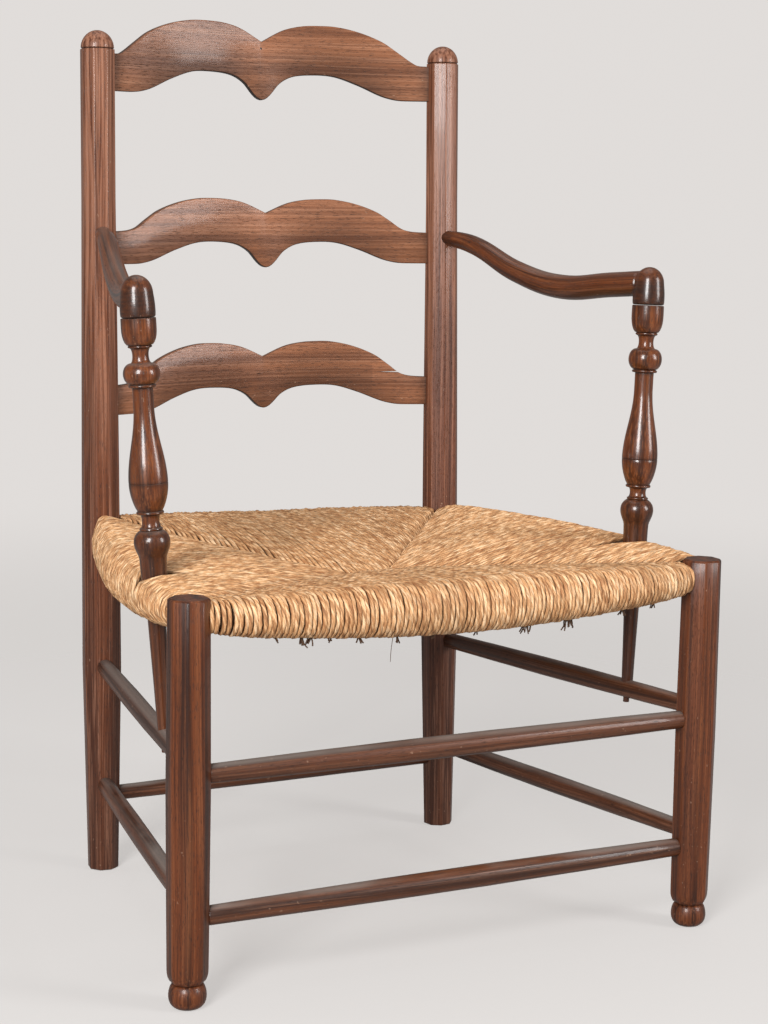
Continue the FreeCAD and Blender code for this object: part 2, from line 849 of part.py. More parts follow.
def arm_support(side):
    """Turned baluster, from its stub under the stretcher to the tenon in the arm."""
    foot, joint = support_ends(side)
    length = joint.sub(foot).Length
    rail_top, rail_low = support_levels(side)
    seat = side_stretcher_radius - support_foot_sink
    heights = [length]
    for part in (
        cup_length, bead_length, cove_length, ball_length, ring_length, vase_length,
        ring_length, lower_cove_length, lower_ring_length, lower_ball_length,
    ):
        heights.append(heights[-1] - part)
    cup, bead, cove, ball, ring, vase, low_ring, low_cove, lower_ring, low_ball, stem = heights
    profile = [
        (support_stub_radius, -side_stretcher_radius - support_stub_reach),
        (support_stub_radius, seat),
        (support_foot_radius, seat),
        (support_foot_radius, seat + support_foot_sink),
        (blend(support_foot_radius, rail_hole_radius, 0.66), blend(seat, rail_low, 0.62)),
        (rail_hole_radius, rail_low - tenon_web),
        (rail_hole_radius, rail_top + tenon_web),
        (support_stem_end_radius, rail_top + tenon_web),
        (support_stem_radius, blend(rail_top, stem, 0.6)),
        (blend(support_stem_radius, lower_ball_radius, 0.1), stem),
        (blend(support_stem_radius, lower_ball_radius, 0.6), blend(stem, low_ball, 0.3)),
        (lower_ball_radius, blend(stem, low_ball, 0.58)),
        (blend(lower_ring_radius, lower_ball_radius, 0.76), blend(stem, low_ball, 0.84)),
        (lower_ring_radius, low_ball),
        (lower_ring_radius, lower_ring),
    ]
    rim = lower_cove_radius + turning_edge
    profile += rounded(rim, lower_cove_radius, rim, lower_ring, low_cove, 2)
    ring_edge = ring_radius - turning_edge
    profile += rounded(ring_edge, ring_radius, ring_edge, low_cove, low_ring, 2)
    profile.append((vase_foot_radius, low_ring))
    for place, swell in vase_shape:
        base = vase_foot_radius if place < vase_belly_share else vase_neck_radius
        profile.append((blend(base, vase_belly_radius, swell), blend(low_ring, vase, place)))
    profile.append((vase_neck_radius, vase))
    profile += rounded(ring_edge, ring_radius, ring_edge, vase, ring, 2)
    profile += rounded(cove_rim_radius, ball_radius, cove_rim_radius, ring, ball, 5)
    profile += rounded(cove_rim_radius, cove_radius, cove_rim_radius, ball, cove, 3)[1:]
    bead_edge = bead_radius - turning_edge
    profile += rounded(bead_edge, bead_radius, bead_edge, cove, bead, 2)
    profile += [
        (blend(bead_radius, cup_radius, 0.5), blend(bead, cup, 0.12)),
        (blend(bead_radius, cup_radius, 0.8), blend(bead, cup, 0.28)),
        (blend(bead_radius, cup_radius, 0.96), cup - cup_straight),
        (cup_radius, cup),
        (support_top_tenon_radius, cup),
        (support_top_tenon_radius, cup + support_top_tenon_length),
    ]
    return stand_along(turned(profile, even_angles(round_sides)), foot, joint)


def stretcher_hole(side):
    """Through hole for the stub, with the shallow seat for the support's foot."""
    foot, joint = support_ends(side)
    up = joint.sub(foot).normalize()
    past = side_stretcher_radius + overrun
    through = bore(foot.add(up * -past), foot.add(up * past), support_stub_radius + fit)
    seat = side_stretcher_radius - support_foot_sink
    pocket = bore(foot.add(up * (seat - fit)), foot.add(up * past), support_foot_radius + fit)
    return [through, pocket]


def rail_hole(side):
    foot, joint = support_ends(side)
    return bore(foot, joint, rail_hole_radius + fit)


def rush_hole(side):
    foot, joint = support_ends(side)
    up = joint.sub(foot).normalize()
    rail_top, rail_low = support_levels(side)
    below = bore(foot, foot.add(up * rail_top), rail_hole_radius + rush_hole_space)
    above = bore(foot.add(up * rail_low), joint, support_stem_radius + rush_hole_space)
    return [below, above]


def upright_room(axis, stops, side, height, extra):
    """Planed column that an upright fills near a height, grown by extra."""
    low = height - column_reach
    high = height + column_reach
    column = turned([
        (read_profile(stops(), low) + extra, 0),
        (read_profile(stops(), height) + extra, column_reach),
        (read_profile(stops(), high) + extra, 2 * column_reach),
    ], planed_angles())
    return stand_along(column, axis(side, low), axis(side, high))


def build_chair():
    nodes = {}
    rails = make_rails()

    cross = {
        "front_upper_stretcher": cross_member(leg_axis, leg_stops, front_upper_height, (
            front_stretcher_end_radius, front_stretcher_radius, tenon_radius)),
        "front_lower_stretcher": cross_member(leg_axis, leg_stops, front_lower_height, (
            front_stretcher_end_radius, front_stretcher_radius, tenon_radius)),
        "rear_stretcher": cross_member(post_axis, post_stops, rear_stretcher_height, (
            rear_stretcher_end_radius, rear_stretcher_radius, tenon_radius)),
    }
    for name, member in cross.items():
        nodes[name] = member.solid

    sockets = {("leg", LEFT): [], ("leg", RIGHT): [], ("post", LEFT): [], ("post", RIGHT): []}
    for name, upright in (
        ("front_upper_stretcher", "leg"), ("front_lower_stretcher", "leg"), ("rear_stretcher", "post"),
    ):
        sockets[(upright, LEFT)].append(cross[name].sockets[0])
        sockets[(upright, RIGHT)].append(cross[name].sockets[1])
    for side, word in ((LEFT, "left"), (RIGHT, "right")):
        upper = side_member(side, upper_front_height[side], upper_rear_height[side])
        lower = side_member(side, side_lower_front_height, side_lower_rear_height)
        nodes[word + "_upper_stretcher"] = biggest(upper.solid.cut(stretcher_hole(side)))
        nodes[word + "_lower_stretcher"] = lower.solid
        for member in (upper, lower):
            sockets[("leg", side)].append(member.sockets[0])
            sockets[("post", side)].append(member.sockets[1])
        sockets[("post", side)].append(arm_socket(side))

    ends = {
        "front": (("leg", LEFT), ("leg", RIGHT)),
        "right": (("leg", RIGHT), ("post", RIGHT)),
        "rear": (("post", RIGHT), ("post", LEFT)),
        "left": (("post", LEFT), ("leg", LEFT)),
    }
    for name, (start, end) in ends.items():
        cut = rails[name].sockets()
        sockets[start].append(cut[0])
        sockets[end].append(cut[1])

    for name, size in slats.items():
        nodes[name] = slat(size)
        left_cut, right_cut = slat_mortises(size)
        sockets[("post", LEFT)].append(left_cut)
        sockets[("post", RIGHT)].append(right_cut)
    face, tip = peg_ends()
    peg_hole = bore(face.add(V(0, -overrun, 0)), tip, peg_radius + fit)
    sockets[("post", LEFT)].append(peg_hole)
    nodes["top_slat"] = biggest(nodes["top_slat"].cut([peg_hole]))
    nodes["top_slat_peg"] = rod(face, tip, peg_radius)

    for side, word in ((LEFT, "left"), (RIGHT, "right")):
        nodes["front_leg_" + word] = front_leg(side, sockets[("leg", side)])
        nodes["rear_post_" + word] = rear_post(side, sockets[("post", side)])
        nodes["arm_" + word] = arm(side)
        nodes["arm_support_" + word] = arm_support(side)

    columns = []
    clear_columns = []
    for side in (LEFT, RIGHT):
        for axis, stops in ((leg_axis, leg_stops), (post_axis, post_stops)):
            columns.append(upright_room(axis, stops, side, side_rail_height, fit))
            clear_columns.append(upright_room(axis, stops, side, side_rail_height, rush_space))
    holes = {"left": [rail_hole(LEFT)], "right": [rail_hole(RIGHT)], "front": [], "rear": []}
    half_bridge = seat_bridge / 2
    inner = {
        "front": (V(-half_bridge, seat_centre_y, 0), V(half_bridge, seat_centre_y, 0)),
        "right": (V(half_bridge, seat_centre_y, 0), V(half_bridge, seat_centre_y, 0)),
        "rear": (V(half_bridge, seat_centre_y, 0), V(-half_bridge, seat_centre_y, 0)),
        "left": (V(-half_bridge, seat_centre_y, 0), V(-half_bridge, seat_centre_y, 0)),
    }
    rail_room = [rail.bar(rush_space) for rail in rails.values()]
    for name, rail in rails.items():
        nodes[name + "_seat_rail"] = rail.build(columns, holes[name])
        field = rush_field(rail, *inner[name])
        tools = clear_columns + rail_room
        for side, word in ((LEFT, "left"), (RIGHT, "right")):
            if name == word:
                tools = tools + rush_hole(side)
        nodes["rush_" + name] = biggest(field.cut(tools))
    return nodes


def main():
    os.makedirs("parts", exist_ok=True)
    nodes = build_chair()
    whole = Part.makeCompound(list(nodes.values()))
    box = whole.optimalBoundingBox(False)
    shift = V(-(box.XMin + box.XMax) / 2, -(box.YMin + box.YMax) / 2, 0)
    for name, shape in nodes.items():
        placed = shape.copy()
        placed.translate(shift)
        placed.exportStep(os.path.join("parts", name + ".step"))
    print("chair of %d pieces, %.1f wide, %.1f deep, %.1f high, moved by %.2f, %.2f" % (
        len(nodes), box.XLength, box.YLength, box.ZLength, shift.x, shift.y))


main()
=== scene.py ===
import math
import random

import bpy
from mathutils import Matrix, Vector


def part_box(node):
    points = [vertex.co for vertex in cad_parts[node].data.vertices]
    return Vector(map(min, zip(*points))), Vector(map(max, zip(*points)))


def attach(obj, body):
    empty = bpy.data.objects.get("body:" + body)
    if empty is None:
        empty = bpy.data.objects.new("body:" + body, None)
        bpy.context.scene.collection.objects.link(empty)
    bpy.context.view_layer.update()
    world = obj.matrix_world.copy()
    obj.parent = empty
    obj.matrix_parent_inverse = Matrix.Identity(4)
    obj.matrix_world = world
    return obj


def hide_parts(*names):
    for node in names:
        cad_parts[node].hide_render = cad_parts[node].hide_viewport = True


# Looks of a ladderback armchair with a rush seat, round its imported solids.
# Sizes are in millimetres and turn into metres where a piece is made.
# Y = 0 is the line through the two front legs here; spot() moves it to the frame.

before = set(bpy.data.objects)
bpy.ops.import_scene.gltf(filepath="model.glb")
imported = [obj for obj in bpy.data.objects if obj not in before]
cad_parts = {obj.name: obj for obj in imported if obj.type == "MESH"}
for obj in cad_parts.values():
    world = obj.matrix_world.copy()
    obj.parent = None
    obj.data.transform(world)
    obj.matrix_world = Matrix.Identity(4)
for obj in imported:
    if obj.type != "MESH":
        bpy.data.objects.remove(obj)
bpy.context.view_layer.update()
bpy.ops.object.select_all(action="DESELECT")

MM = 0.001
LEFT = -1
RIGHT = 1
SIDES = ((LEFT, "left"), (RIGHT, "right"))
leg_low, leg_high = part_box("front_leg_left")
front_line = (leg_low.y + leg_high.y) / 2
chance = random.Random(7)

# The four uprights
leg_out = 289.3
leg_height = 400.0
post_foot = (218.5, 438.6)
post_top = (215.0, 462.0)
post_height = 944.5
dome_height = 19.8
scribe_depth = 0.7
flat_share = 0.962
leg_stops = ((25.5, 19.7), (215.0, 21.0), (400.0, 19.9))
post_stops = ((0.0, 17.0), (235.0, 21.5), (470.0, 20.6), (760.0, 18.6), (944.5, 18.6))

# Stretchers: end heights of the axis, end and middle radius
stretcher_ends = {
    "front_upper_stretcher": (228.5, 228.5, 9.5, 11.4),
    "front_lower_stretcher": (88.4, 88.4, 9.5, 11.4),
    "rear_stretcher": (85.7, 85.7, 8.6, 9.4),
    "left_upper_stretcher": (238.5, 238.0, 9.0, 10.6),
    "right_upper_stretcher": (240.0, 233.0, 9.0, 10.6),
    "left_lower_stretcher": (102.8, 101.1, 9.0, 10.6),
    "right_lower_stretcher": (102.8, 101.1, 9.0, 10.6),
}

# Arms and supports
joint_out = 293.2
joint_y = 124.5
joint_height = {LEFT: 652.5, RIGHT: 658.0}
arm_rear_height = {LEFT: 722.0, RIGHT: 719.5}
arm_rear_out = 216.0
arm_dip = 8.0
arm_bends = (
    (1.03, -0.02, -0.03), (0.87, 0.14, 0.13), (0.63, 0.36, 0.72),
    (0.4, 0.565, 1.0), (0.15, 0.79, 0.87), (0.03, 0.95, 0.8),
)
arm_end_radius = 8.8
arm_thick_radius = 13.8
arm_over_joint = 39.0
knob_radius = 17.3
knob_height = 41.5
support_foot_y = 107.8
vase_belly_radius = 19.3
vase_belly_share = 0.23
ball_radius = 18.1
lower_ball_radius = 18.0
cup_radius = 17.3

# Lengths down a support: cup, bead, cove, ball, ring, vase, ring, cove, bead, ball
support_parts = {
    LEFT: (26.4, 2.4, 14.8, 20.8, 2.8, 121.0, 3.0, 13.5, 2.4, 25.5),
    RIGHT: (29.5, 2.8, 14.5, 23.0, 3.0, 122.2, 3.0, 10.8, 2.4, 25.5),
}

# Back slats: height of the lower end corner, then heights above it, and the bow
slats = {
    "top_slat": dict(
        level=879.6, end=40.8, cusp=63.6, crest=84.6, tip=-2.6, arch=27.8, bow=40.0, spread=1.0),
    "middle_slat": dict(
        level=689.0, end=36.8, cusp=58.0, crest=74.8, tip=-4.7, arch=24.9, bow=28.0, spread=0.94),
    "lower_slat": dict(
        level=520.3, end=33.6, cusp=59.6, crest=76.6, tip=-0.8, arch=24.8, bow=36.0, spread=0.94),
}
slat_thickness = 8.0
slat_end_offset = 5.0
crack_place = (158.0, 10.0, 39.0)
crack_length = 46.0
crack_gape = 2.6

# Seat
seat_corners = {
    "front_left": (-289.3, 0.0), "front_right": (289.3, 0.0),
    "rear_left": (-217.1, 448.0), "rear_right": (217.1, 448.0),
}
seat_centre = (21.0, 205.0)
cord = 4.5
twists_per_metre = 24
strand_radius = 0.75
thread_radius = 0.3
first_cord = 22.0
last_cord = 21.0
roll_radius = 16.3
roll_sag = 17.0
stuffing_depth = 4.3
high_corner_rise = 13.0
corner_top = 398.3
corner_low = 365.7
centre_top = 371.3
centre_low = 349.3

# View of the photograph, 768 by 1024 pixels
camera_place = (-1035.2, -1865.8, 792.8)
camera_yaw = 0.47025
camera_pitch = -0.15305
camera_roll = 0.01754
camera_focal = 2185.07
picture_height = 1024.0


def spot(x, y, z):
    """Point of the frame, in metres, from millimetres behind the front legs' line."""
    return Vector((x * MM, y * MM + front_line, z * MM))


def blend(a, b, share):
    return a + (b - a) * share


def read_stops(stops, height):
    if height <= stops[0][0]:
        return stops[0][1]
    for (low, r_low), (high, r_high) in zip(stops, stops[1:]):
        if height <= high:
            return blend(r_low, r_high, (height - low) / (high - low))
    return stops[-1][1]


def leg_axis(side, height):
    return spot(side * leg_out, 0, height)


def post_axis(side, height):
    share = height / post_height
    return spot(
        side * blend(post_foot[0], post_top[0], share), blend(post_foot[1], post_top[1], share), height)


# Shaders

class Wire:
    """One value in a shader. Python's operators on it add Math nodes."""

    def __init__(self, paint, socket):
        self.paint = paint
        self.socket = socket

    def calc(self, operation, first, second):
        return self.paint.node("Math", {"operation": operation}, {0: first, 1: second})

    def __add__(self, other):
        return self.calc("ADD", self, other)

    def __radd__(self, other):
        return self.calc("ADD", other, self)

    def __sub__(self, other):
        return self.calc("SUBTRACT", self, other)

    def __rsub__(self, other):
        return self.calc("SUBTRACT", other, self)

    def __mul__(self, other):
        return self.calc("MULTIPLY", self, other)

    def __rmul__(self, other):
        return self.calc("MULTIPLY", other, self)

    def between(self, low, high):
        """0 below low, 1 above high, a soft step in the middle."""
        return self.paint.node(
            "MapRange", {"interpolation_type": "SMOOTHSTEP"},
            {"Value": self, "From Min": low, "From Max": high})


class Paint:
    """The node tree of a material or of the world."""

    def __init__(self, owner):
        owner.use_nodes = True
        self.owner = owner
        self.tree = owner.node_tree

    def node(self, kind, settings, inputs, out=0):
        """Any node: its type, its settings, its sockets' values or links, its output."""
        made = self.tree.nodes.new("ShaderNode" + kind)
        for key, value in settings.items():
            if key == "stops":
                ramp = made.color_ramp.elements
                while len(ramp) < len(value):
                    ramp.new(0.5)
                for element, (place, color) in zip(ramp, value):
                    element.position = place
                    element.color = (*color, 1)
            else:
                setattr(made, key, value)
        for key, value in inputs.items():
            self.feed(self.find(made.inputs, key), value)
        return Wire(self, self.find(made.outputs, out))

    def find(self, sockets, key):
        if isinstance(key, int):
            return sockets[key]
        for socket in sockets:
            if socket.identifier == key:
                return socket
        return sockets[key]

    def feed(self, socket, value):
        if isinstance(value, Wire):
            self.tree.links.new(value.socket, socket)
        elif isinstance(value, tuple) and socket.type == "RGBA":
            socket.default_value = (*value, 1)
        else:
            socket.default_value = value

    def mix(self, factor, first, second):
        return self.node(
            "Mix", {"data_type": "RGBA"},
            {"Factor_Float": factor, "A_Color": first, "B_Color": second}, "Result_Color")

    def stretch(self, vector, scale):
        return self.node("VectorMath", {"operation": "MULTIPLY"}, {0: vector, 1: scale})

    def noise(self, vector, scale, detail=2.0, rough=0.5, out="Fac"):
        return self.node(
            "TexNoise", {}, {"Vector": self.stretch(vector, scale), "Scale": 1.0,
                             "Detail": detail, "Roughness": rough}, out)

    def bump(self, height, strength, distance):
        return self.node(
            "Bump", {}, {"Height": height, "Strength": strength, "Distance": distance})

    def show(self, wire, output):
        self.tree.links.new(wire.socket, self.tree.nodes[output].inputs["Surface"])

    def finish(self, sockets):
        """Sets the material's own shader."""
        for name, value in sockets.items():
            self.feed(self.tree.nodes["Principled BSDF"].inputs[name], value)
        return self.owner


def wood(name, dark, middle, light, roughness, gloss, figure=1.0, dust=0.0, top_sheen=0.0,
         hole=None):
    """Waxed old hardwood. The attribute "grain" gives a point's place in its own
    wood in metres, with the grain along Z, and "shade" how much darker it is
    painted: partly painted shade in grooves and where parts meet, partly the
    wood's own darker tone, such as the knobs' end grain. Figure sets how strongly
    the streaks stand out, dust how grey the upper sides are, top_sheen how much
    lighter the wood is painted towards the top of the chair, a painted sheen, and
    hole is the place of an old pin hole, painted there as a dark spot of shade."""
    paint = Paint(bpy.data.materials.new(name))
    place = paint.node("Attribute", {"attribute_name": "grain"}, {}, "Vector")
    shade = paint.node("Attribute", {"attribute_name": "shade"}, {}, "Fac")
    warp = paint.noise(place, (8, 8, 2.5), 1, out="Color")
    bent = paint.node("VectorMath", {"operation": "MULTIPLY_ADD"}, {
        0: warp, 1: (0.012, 0.012, 0.0), 2: place})
    ring = paint.noise(bent, (105, 105, 1.2), 2, 0.5)
    streak = paint.noise(bent, (430, 430, 3.5), 3, 0.6)
    fibre = paint.noise(bent, (1300, 1300, 22), 2, 0.6)
    pore = paint.noise(place, (1900, 1900, 120), 1).between(0.6, 0.7)
    patch = paint.noise(place, (14, 14, 5), 3, 0.6)
    nick = paint.noise(place, (240, 240, 150), 2, 0.7)
    color = paint.mix((1 - ring).between(0.4, 0.66) * figure, middle, dark)
    color = paint.mix(streak.between(0.46, 0.7) * 0.6, color, light)
    color = paint.mix((1 - streak).between(0.55, 0.7) * (0.7 * figure), color, dark)
    color = paint.mix(fibre.between(0.4, 0.7) * 0.3, color, dark)
    color = paint.mix(patch.between(0.48, 0.75) * 0.4, color, dark)
    color = paint.mix(pore * 0.75, color, (0.012, 0.005, 0.003))
    on_chair = paint.node("TexCoord", {}, {}, "Object")
    # Painted sheen: the wood is painted lighter towards the top of the chair, along its pale streaks.
    if top_sheen:
        height = paint.node("SeparateXYZ", {}, {"Vector": on_chair}, "Z")
        sheen_on_top = height.between(0.35, 0.85) * top_sheen * streak.between(0.3, 0.6)
        color = paint.mix(sheen_on_top, color, light)
    # Painted shade: a dark spot where the pin hole is; the hole itself is not cut.
    if hole:
        away = paint.node("VectorMath", {"operation": "DISTANCE"}, {0: on_chair, 1: hole}, "Value")
        color = paint.mix(away.between(0.0016, 0.0009), color, (0.006, 0.003, 0.002))
    # Darkens by the shade attribute: painted shade in grooves and where parts meet, and the wood's own
    # darker tone such as end grain.
    color = paint.mix(shade * 0.85, color, (0.014, 0.006, 0.004))
    worn = nick.between(0.68, 0.76) * patch.between(0.38, 0.55)
    color = paint.mix(worn * 0.6, color, (0.34, 0.2, 0.13))
    rough = roughness + patch * 0.12 + pore * 0.2
    if dust:
        facing = paint.node("NewGeometry", {}, {}, "Normal")
        up = paint.node("SeparateXYZ", {}, {"Vector": facing}, "Z")
        dusty = up.between(0.55, 0.98) * patch.between(0.35, 0.55) * dust
        color = paint.mix(dusty, color, (0.21, 0.175, 0.155))
        rough = rough + dusty * 0.3
    relief = fibre * 0.5 + streak * 0.7 - pore * 0.9 - worn * 0.5
    return paint.finish({
        "Base Color": color, "Roughness": rough, "Normal": paint.bump(relief, 0.5, 0.0003),
        "Coat Weight": gloss, "Coat Roughness": 0.14, "Specular IOR Level": 0.3})


def rush_finish():
    """Twisted rush cord. The UV map runs along a cord and once round it; the
    attribute "tone" holds a cord's own shade, and 0 for the stuffing inside and
    the broken ends, which are painted dark as shade."""
    paint = Paint(bpy.data.materials.new("twisted rush"))
    chart = paint.node("TexCoord", {}, {}, "UV")
    along = paint.node("SeparateXYZ", {}, {"Vector": chart}, "X")
    around = paint.node("SeparateXYZ", {}, {"Vector": chart}, "Y")
    tone = paint.node("Attribute", {"attribute_name": "tone"}, {}, "Fac")
    turn = along * twists_per_metre + around
    strand = paint.node("CombineXYZ", {}, {"X": turn, "Y": along * 55, "Z": tone * 40})
    leaf = paint.noise(strand, (5, 1.1, 1), 3, 0.65)
    fibre = paint.noise(strand, (24, 1.2, 1), 3, 0.7)
    fleck = paint.noise(strand, (9, 3.2, 1), 2, 0.6)
    wave = paint.node("Math", {"operation": "SINE"}, {0: turn * (4 * math.pi)})
    crease = wave.between(-1.0, -0.35)
    beside = paint.node("Math", {"operation": "COSINE"}, {0: around * (4 * math.pi)})
    contact = beside.between(0.3, 1.0)
    place = paint.node("TexCoord", {}, {}, "Object")
    patch = paint.noise(place, (11, 11, 11), 3, 0.6)
    color = paint.node("ValToRGB", {"stops": (
        (0.0, (0.13, 0.045, 0.014)), (0.3, (0.32, 0.13, 0.046)),
        (0.6, (0.64, 0.345, 0.155)), (1.0, (1.0, 0.73, 0.46)))}, {
        "Fac": leaf.between(0.34, 0.66) * 0.42 + fibre * 0.5 + tone * 0.28 - 0.04}, "Color")
    color = paint.mix(fleck.between(0.64, 0.74) * 0.6, color, (0.2, 0.1, 0.045))
    color = paint.mix(patch.between(0.45, 0.72) * 0.35, color, (0.33, 0.185, 0.085))
    # Painted shade in the creases of the twist.
    color = paint.mix((1 - crease) * 0.4, color, (0.16, 0.065, 0.022))
    # Painted shade on the sides of each cord where it touches the next.
    color = paint.mix(contact * 0.6, color, (0.13, 0.052, 0.018))
    # Painted shade: tone 0, the stuffing and the broken ends, is painted dark.
    color = paint.mix(1 - tone.between(0.001, 0.02), color, (0.07, 0.032, 0.014))
    relief = crease * 0.8 + fibre * 0.5 + leaf.between(0.35, 0.65) * 0.6
    return paint.finish({
        "Base Color": color, "Roughness": 0.55 + fibre * 0.2,
        "Normal": paint.bump(relief, 0.7, 0.0011), "Specular IOR Level": 0.4})


# Modelling

def alone(piece):
    bpy.ops.object.select_all(action="DESELECT")
    piece.select_set(True)
    bpy.context.view_layer.objects.active = piece


def edit_all():
    bpy.ops.object.mode_set(mode="EDIT")
    bpy.ops.mesh.select_all(action="SELECT")


def edit_done():
    """Turns the faces outwards and leaves edit mode."""
    bpy.ops.mesh.select_all(action="SELECT")
    bpy.ops.mesh.normals_make_consistent(inside=False)
    bpy.ops.object.mode_set(mode="OBJECT")


def turned(name, profile, steps=48):
    """Round piece on the Z axis: a profile of (radius, height) drawn out and spun."""
    bpy.ops.mesh.primitive_circle_add(vertices=3, radius=MM)
    piece = bpy.context.object
    piece.name = name
    edit_all()
    bpy.ops.mesh.merge(type="CENTER")
    bpy.ops.transform.translate(value=(profile[0][0] * MM, 0, profile[0][1] * MM))
    for (radius, height), (next_radius, next_height) in zip(profile, profile[1:]):
        move = ((next_radius - radius) * MM, 0, (next_height - height) * MM)
        bpy.ops.mesh.extrude_region_move(TRANSFORM_OT_translate={"value": move})
    bpy.ops.mesh.select_all(action="SELECT")
    bpy.ops.mesh.spin(steps=steps, angle=2 * math.pi, center=(0, 0, 0), axis=(0, 0, 1))
    bpy.ops.mesh.select_all(action="SELECT")
    bpy.ops.mesh.remove_doubles(threshold=0.01 * MM)
    edit_done()
    return piece


def planed(name, profile, edge_round):
    """Soft eight-sided piece on the Z axis: a flat octagon drawn up step by step."""
    grow = flat_share / math.cos(math.pi / 8) * MM
    radius, height = profile[0]
    bpy.ops.mesh.primitive_circle_add(vertices=8, radius=radius * grow, fill_type="NGON")
    piece = bpy.context.object
    piece.name = name
    edit_all()
    bpy.ops.transform.rotate(value=math.pi / 8, orient_axis="Z", center_override=(0, 0, 0))
    bpy.ops.transform.translate(value=(0, 0, height * MM))
    for next_radius, next_height in profile[1:]:
        rise = (0, 0, (next_height - height) * MM)
        share = next_radius / radius
        bpy.ops.mesh.extrude_region_move(TRANSFORM_OT_translate={"value": rise})
        bpy.ops.transform.resize(
            value=(share, share, 1), center_override=(0, 0, next_height * MM))
        radius, height = next_radius, next_height
    edit_done()
    soften(piece, edge_round, 4, 40)
    return piece


def soften(piece, width, segments, angle):
    """Rounds the piece's sharp edges."""
    alone(piece)
    bevel = piece.modifiers.new("soft edges", "BEVEL")
    bevel.width = width * MM
    bevel.segments = segments
    bevel.limit_method = "ANGLE"
    bevel.angle_limit = math.radians(angle)
    bpy.ops.object.modifier_apply(modifier=bevel.name)


def rounded(start, peak, end, low, high, steps):
    """Steps of a bead, ball or cove between two heights, as (radius, height)."""
    profile = []
    for step in range(steps + 1):
        angle = math.pi * step / steps
        share = (1 - math.cos(angle)) / 2
        base = blend(start, end, share)
        profile.append((base + (peak - base) * math.sin(angle), blend(low, high, share)))
    return profile


def lay_grain(piece, along="Z", offset=None, shade=None):
    """Keeps each point's place in its own wood, grain along Z, for the finish.
    Where the wood was bent, offset says how far; shade says how much darker the finish paints each
    point, as painted shade or as the wood's own darker tone."""
    order = {"X": (1, 2, 0), "Y": (2, 0, 1), "Z": (0, 1, 2)}[along]
    start = [chance.uniform(-1, 1), chance.uniform(-1, 1), chance.uniform(-3, 3)]
    places, shades = [], []
    for vertex in piece.data.vertices:
        place = vertex.co - offset(vertex.co) if offset else vertex.co
        places += [place[axis] + first for axis, first in zip(order, start)]
        shades.append(shade(vertex.co) if shade else 0.0)
    grain = piece.data.attributes.new("grain", "FLOAT_VECTOR", "POINT")
    grain.data.foreach_set("vector", places)
    dark = piece.data.attributes.new("shade", "FLOAT", "POINT")
    dark.data.foreach_set("value", shades)


def stand(piece, start, end):
    """Puts a piece made on the Z axis between two points, and applies its place."""
    alone(piece)
    turn = (end - start).to_track_quat("Z", "Y").to_matrix().to_4x4()
    piece.matrix_world = Matrix.Translation(start) @ turn
    bpy.ops.object.transform_apply(location=True, rotation=True, scale=True)


def join(piece, other):
    alone(piece)
    other.select_set(True)
    bpy.ops.object.join()
    return piece


def seat_in_frame(piece, node, material, smooth_angle=35):
    """Gives a finished piece its finish and its body, and hides the imported part that it stands for.
    """
    alone(piece)
    bpy.ops.object.shade_smooth_by_angle(angle=math.radians(smooth_angle))
    piece.data.materials.clear()
    piece.data.materials.append(material)
    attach(piece, "root")
    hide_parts(node)


# Uprights

def make_leg(side, word, finish):
    low, foot_radius = leg_stops[0]
    inset, shoulder, rim = 5.0, 12.0, 2.2
    profile = [(14.0, low)]
    for turn in (0, 18, 36, 54, 72, 90):
        angle = math.radians(turn)
        profile.append((
            foot_radius - inset * (1 - math.sin(angle)), low + shoulder * (1 - math.cos(angle))))
    for height in (90.0, 150.0, 215.0, 280.0, 340.0, leg_height - rim):
        profile.append((read_stops(leg_stops, height), height))
    profile.append((leg_stops[-1][1] - rim * 0.3, leg_height - rim * 0.3))
    profile.append((leg_stops[-1][1] - rim, leg_height))
    leg = planed("front_leg_%s_wood" % word, profile, 6.8)
    ball = [(0.0, 0.0), (8.5, 0.0)] + rounded(9.0, 18.6, 13.4, 0, low - 1, 16)
    foot = turned("foot", ball + [(13.4, low + 1), (0.0, low + 1)])
    leg = join(leg, foot)
    lay_grain(leg)
    stand(leg, leg_axis(side, 0), leg_axis(side, 1))
    seat_in_frame(leg, "front_leg_" + word, finish, 30)


def make_post(side, word, finish):
    scribe = post_height - dome_height
    profile = [(post_stops[0][1] - 1.2, 0.0), (post_stops[0][1], 1.2)]
    for height in (80, 160, 235, 310, 390, 470, 560, 660, 760, 840, scribe - scribe_depth):
        profile.append((read_stops(post_stops, height), height))
    post = planed("rear_post_%s_wood" % word, profile, 6.0)
    top = post_stops[-1][1] * (1 + flat_share) / 2
    cap = [(0.0, scribe - 3), (top - 1.5, scribe - 3), (top - 1.0, scribe - 0.3), (top - 0.8, scribe)]
    for turn in range(2, 91, 8):
        angle = math.radians(turn)
        cap.append((top * math.cos(angle), scribe + 0.3 + (dome_height - 0.3) * math.sin(angle)))
    dome = turned("dome", cap[:-1] + [(0.0, post_height)])
    post = join(post, dome)

    # Painted shade in the scribed groove under the dome; the post is also darker towards its foot.
    def darkened(point):
        if abs(point.z / MM - scribe) < 0.5:
            return 1.0
        return max(0.0, 0.4 - point.z / MM / 900)

    lay_grain(post, shade=darkened)
    stand(post, post_axis(side, 0), post_axis(side, post_height))
    seat_in_frame(post, "rear_post_" + word, finish, 30)


# Stretchers

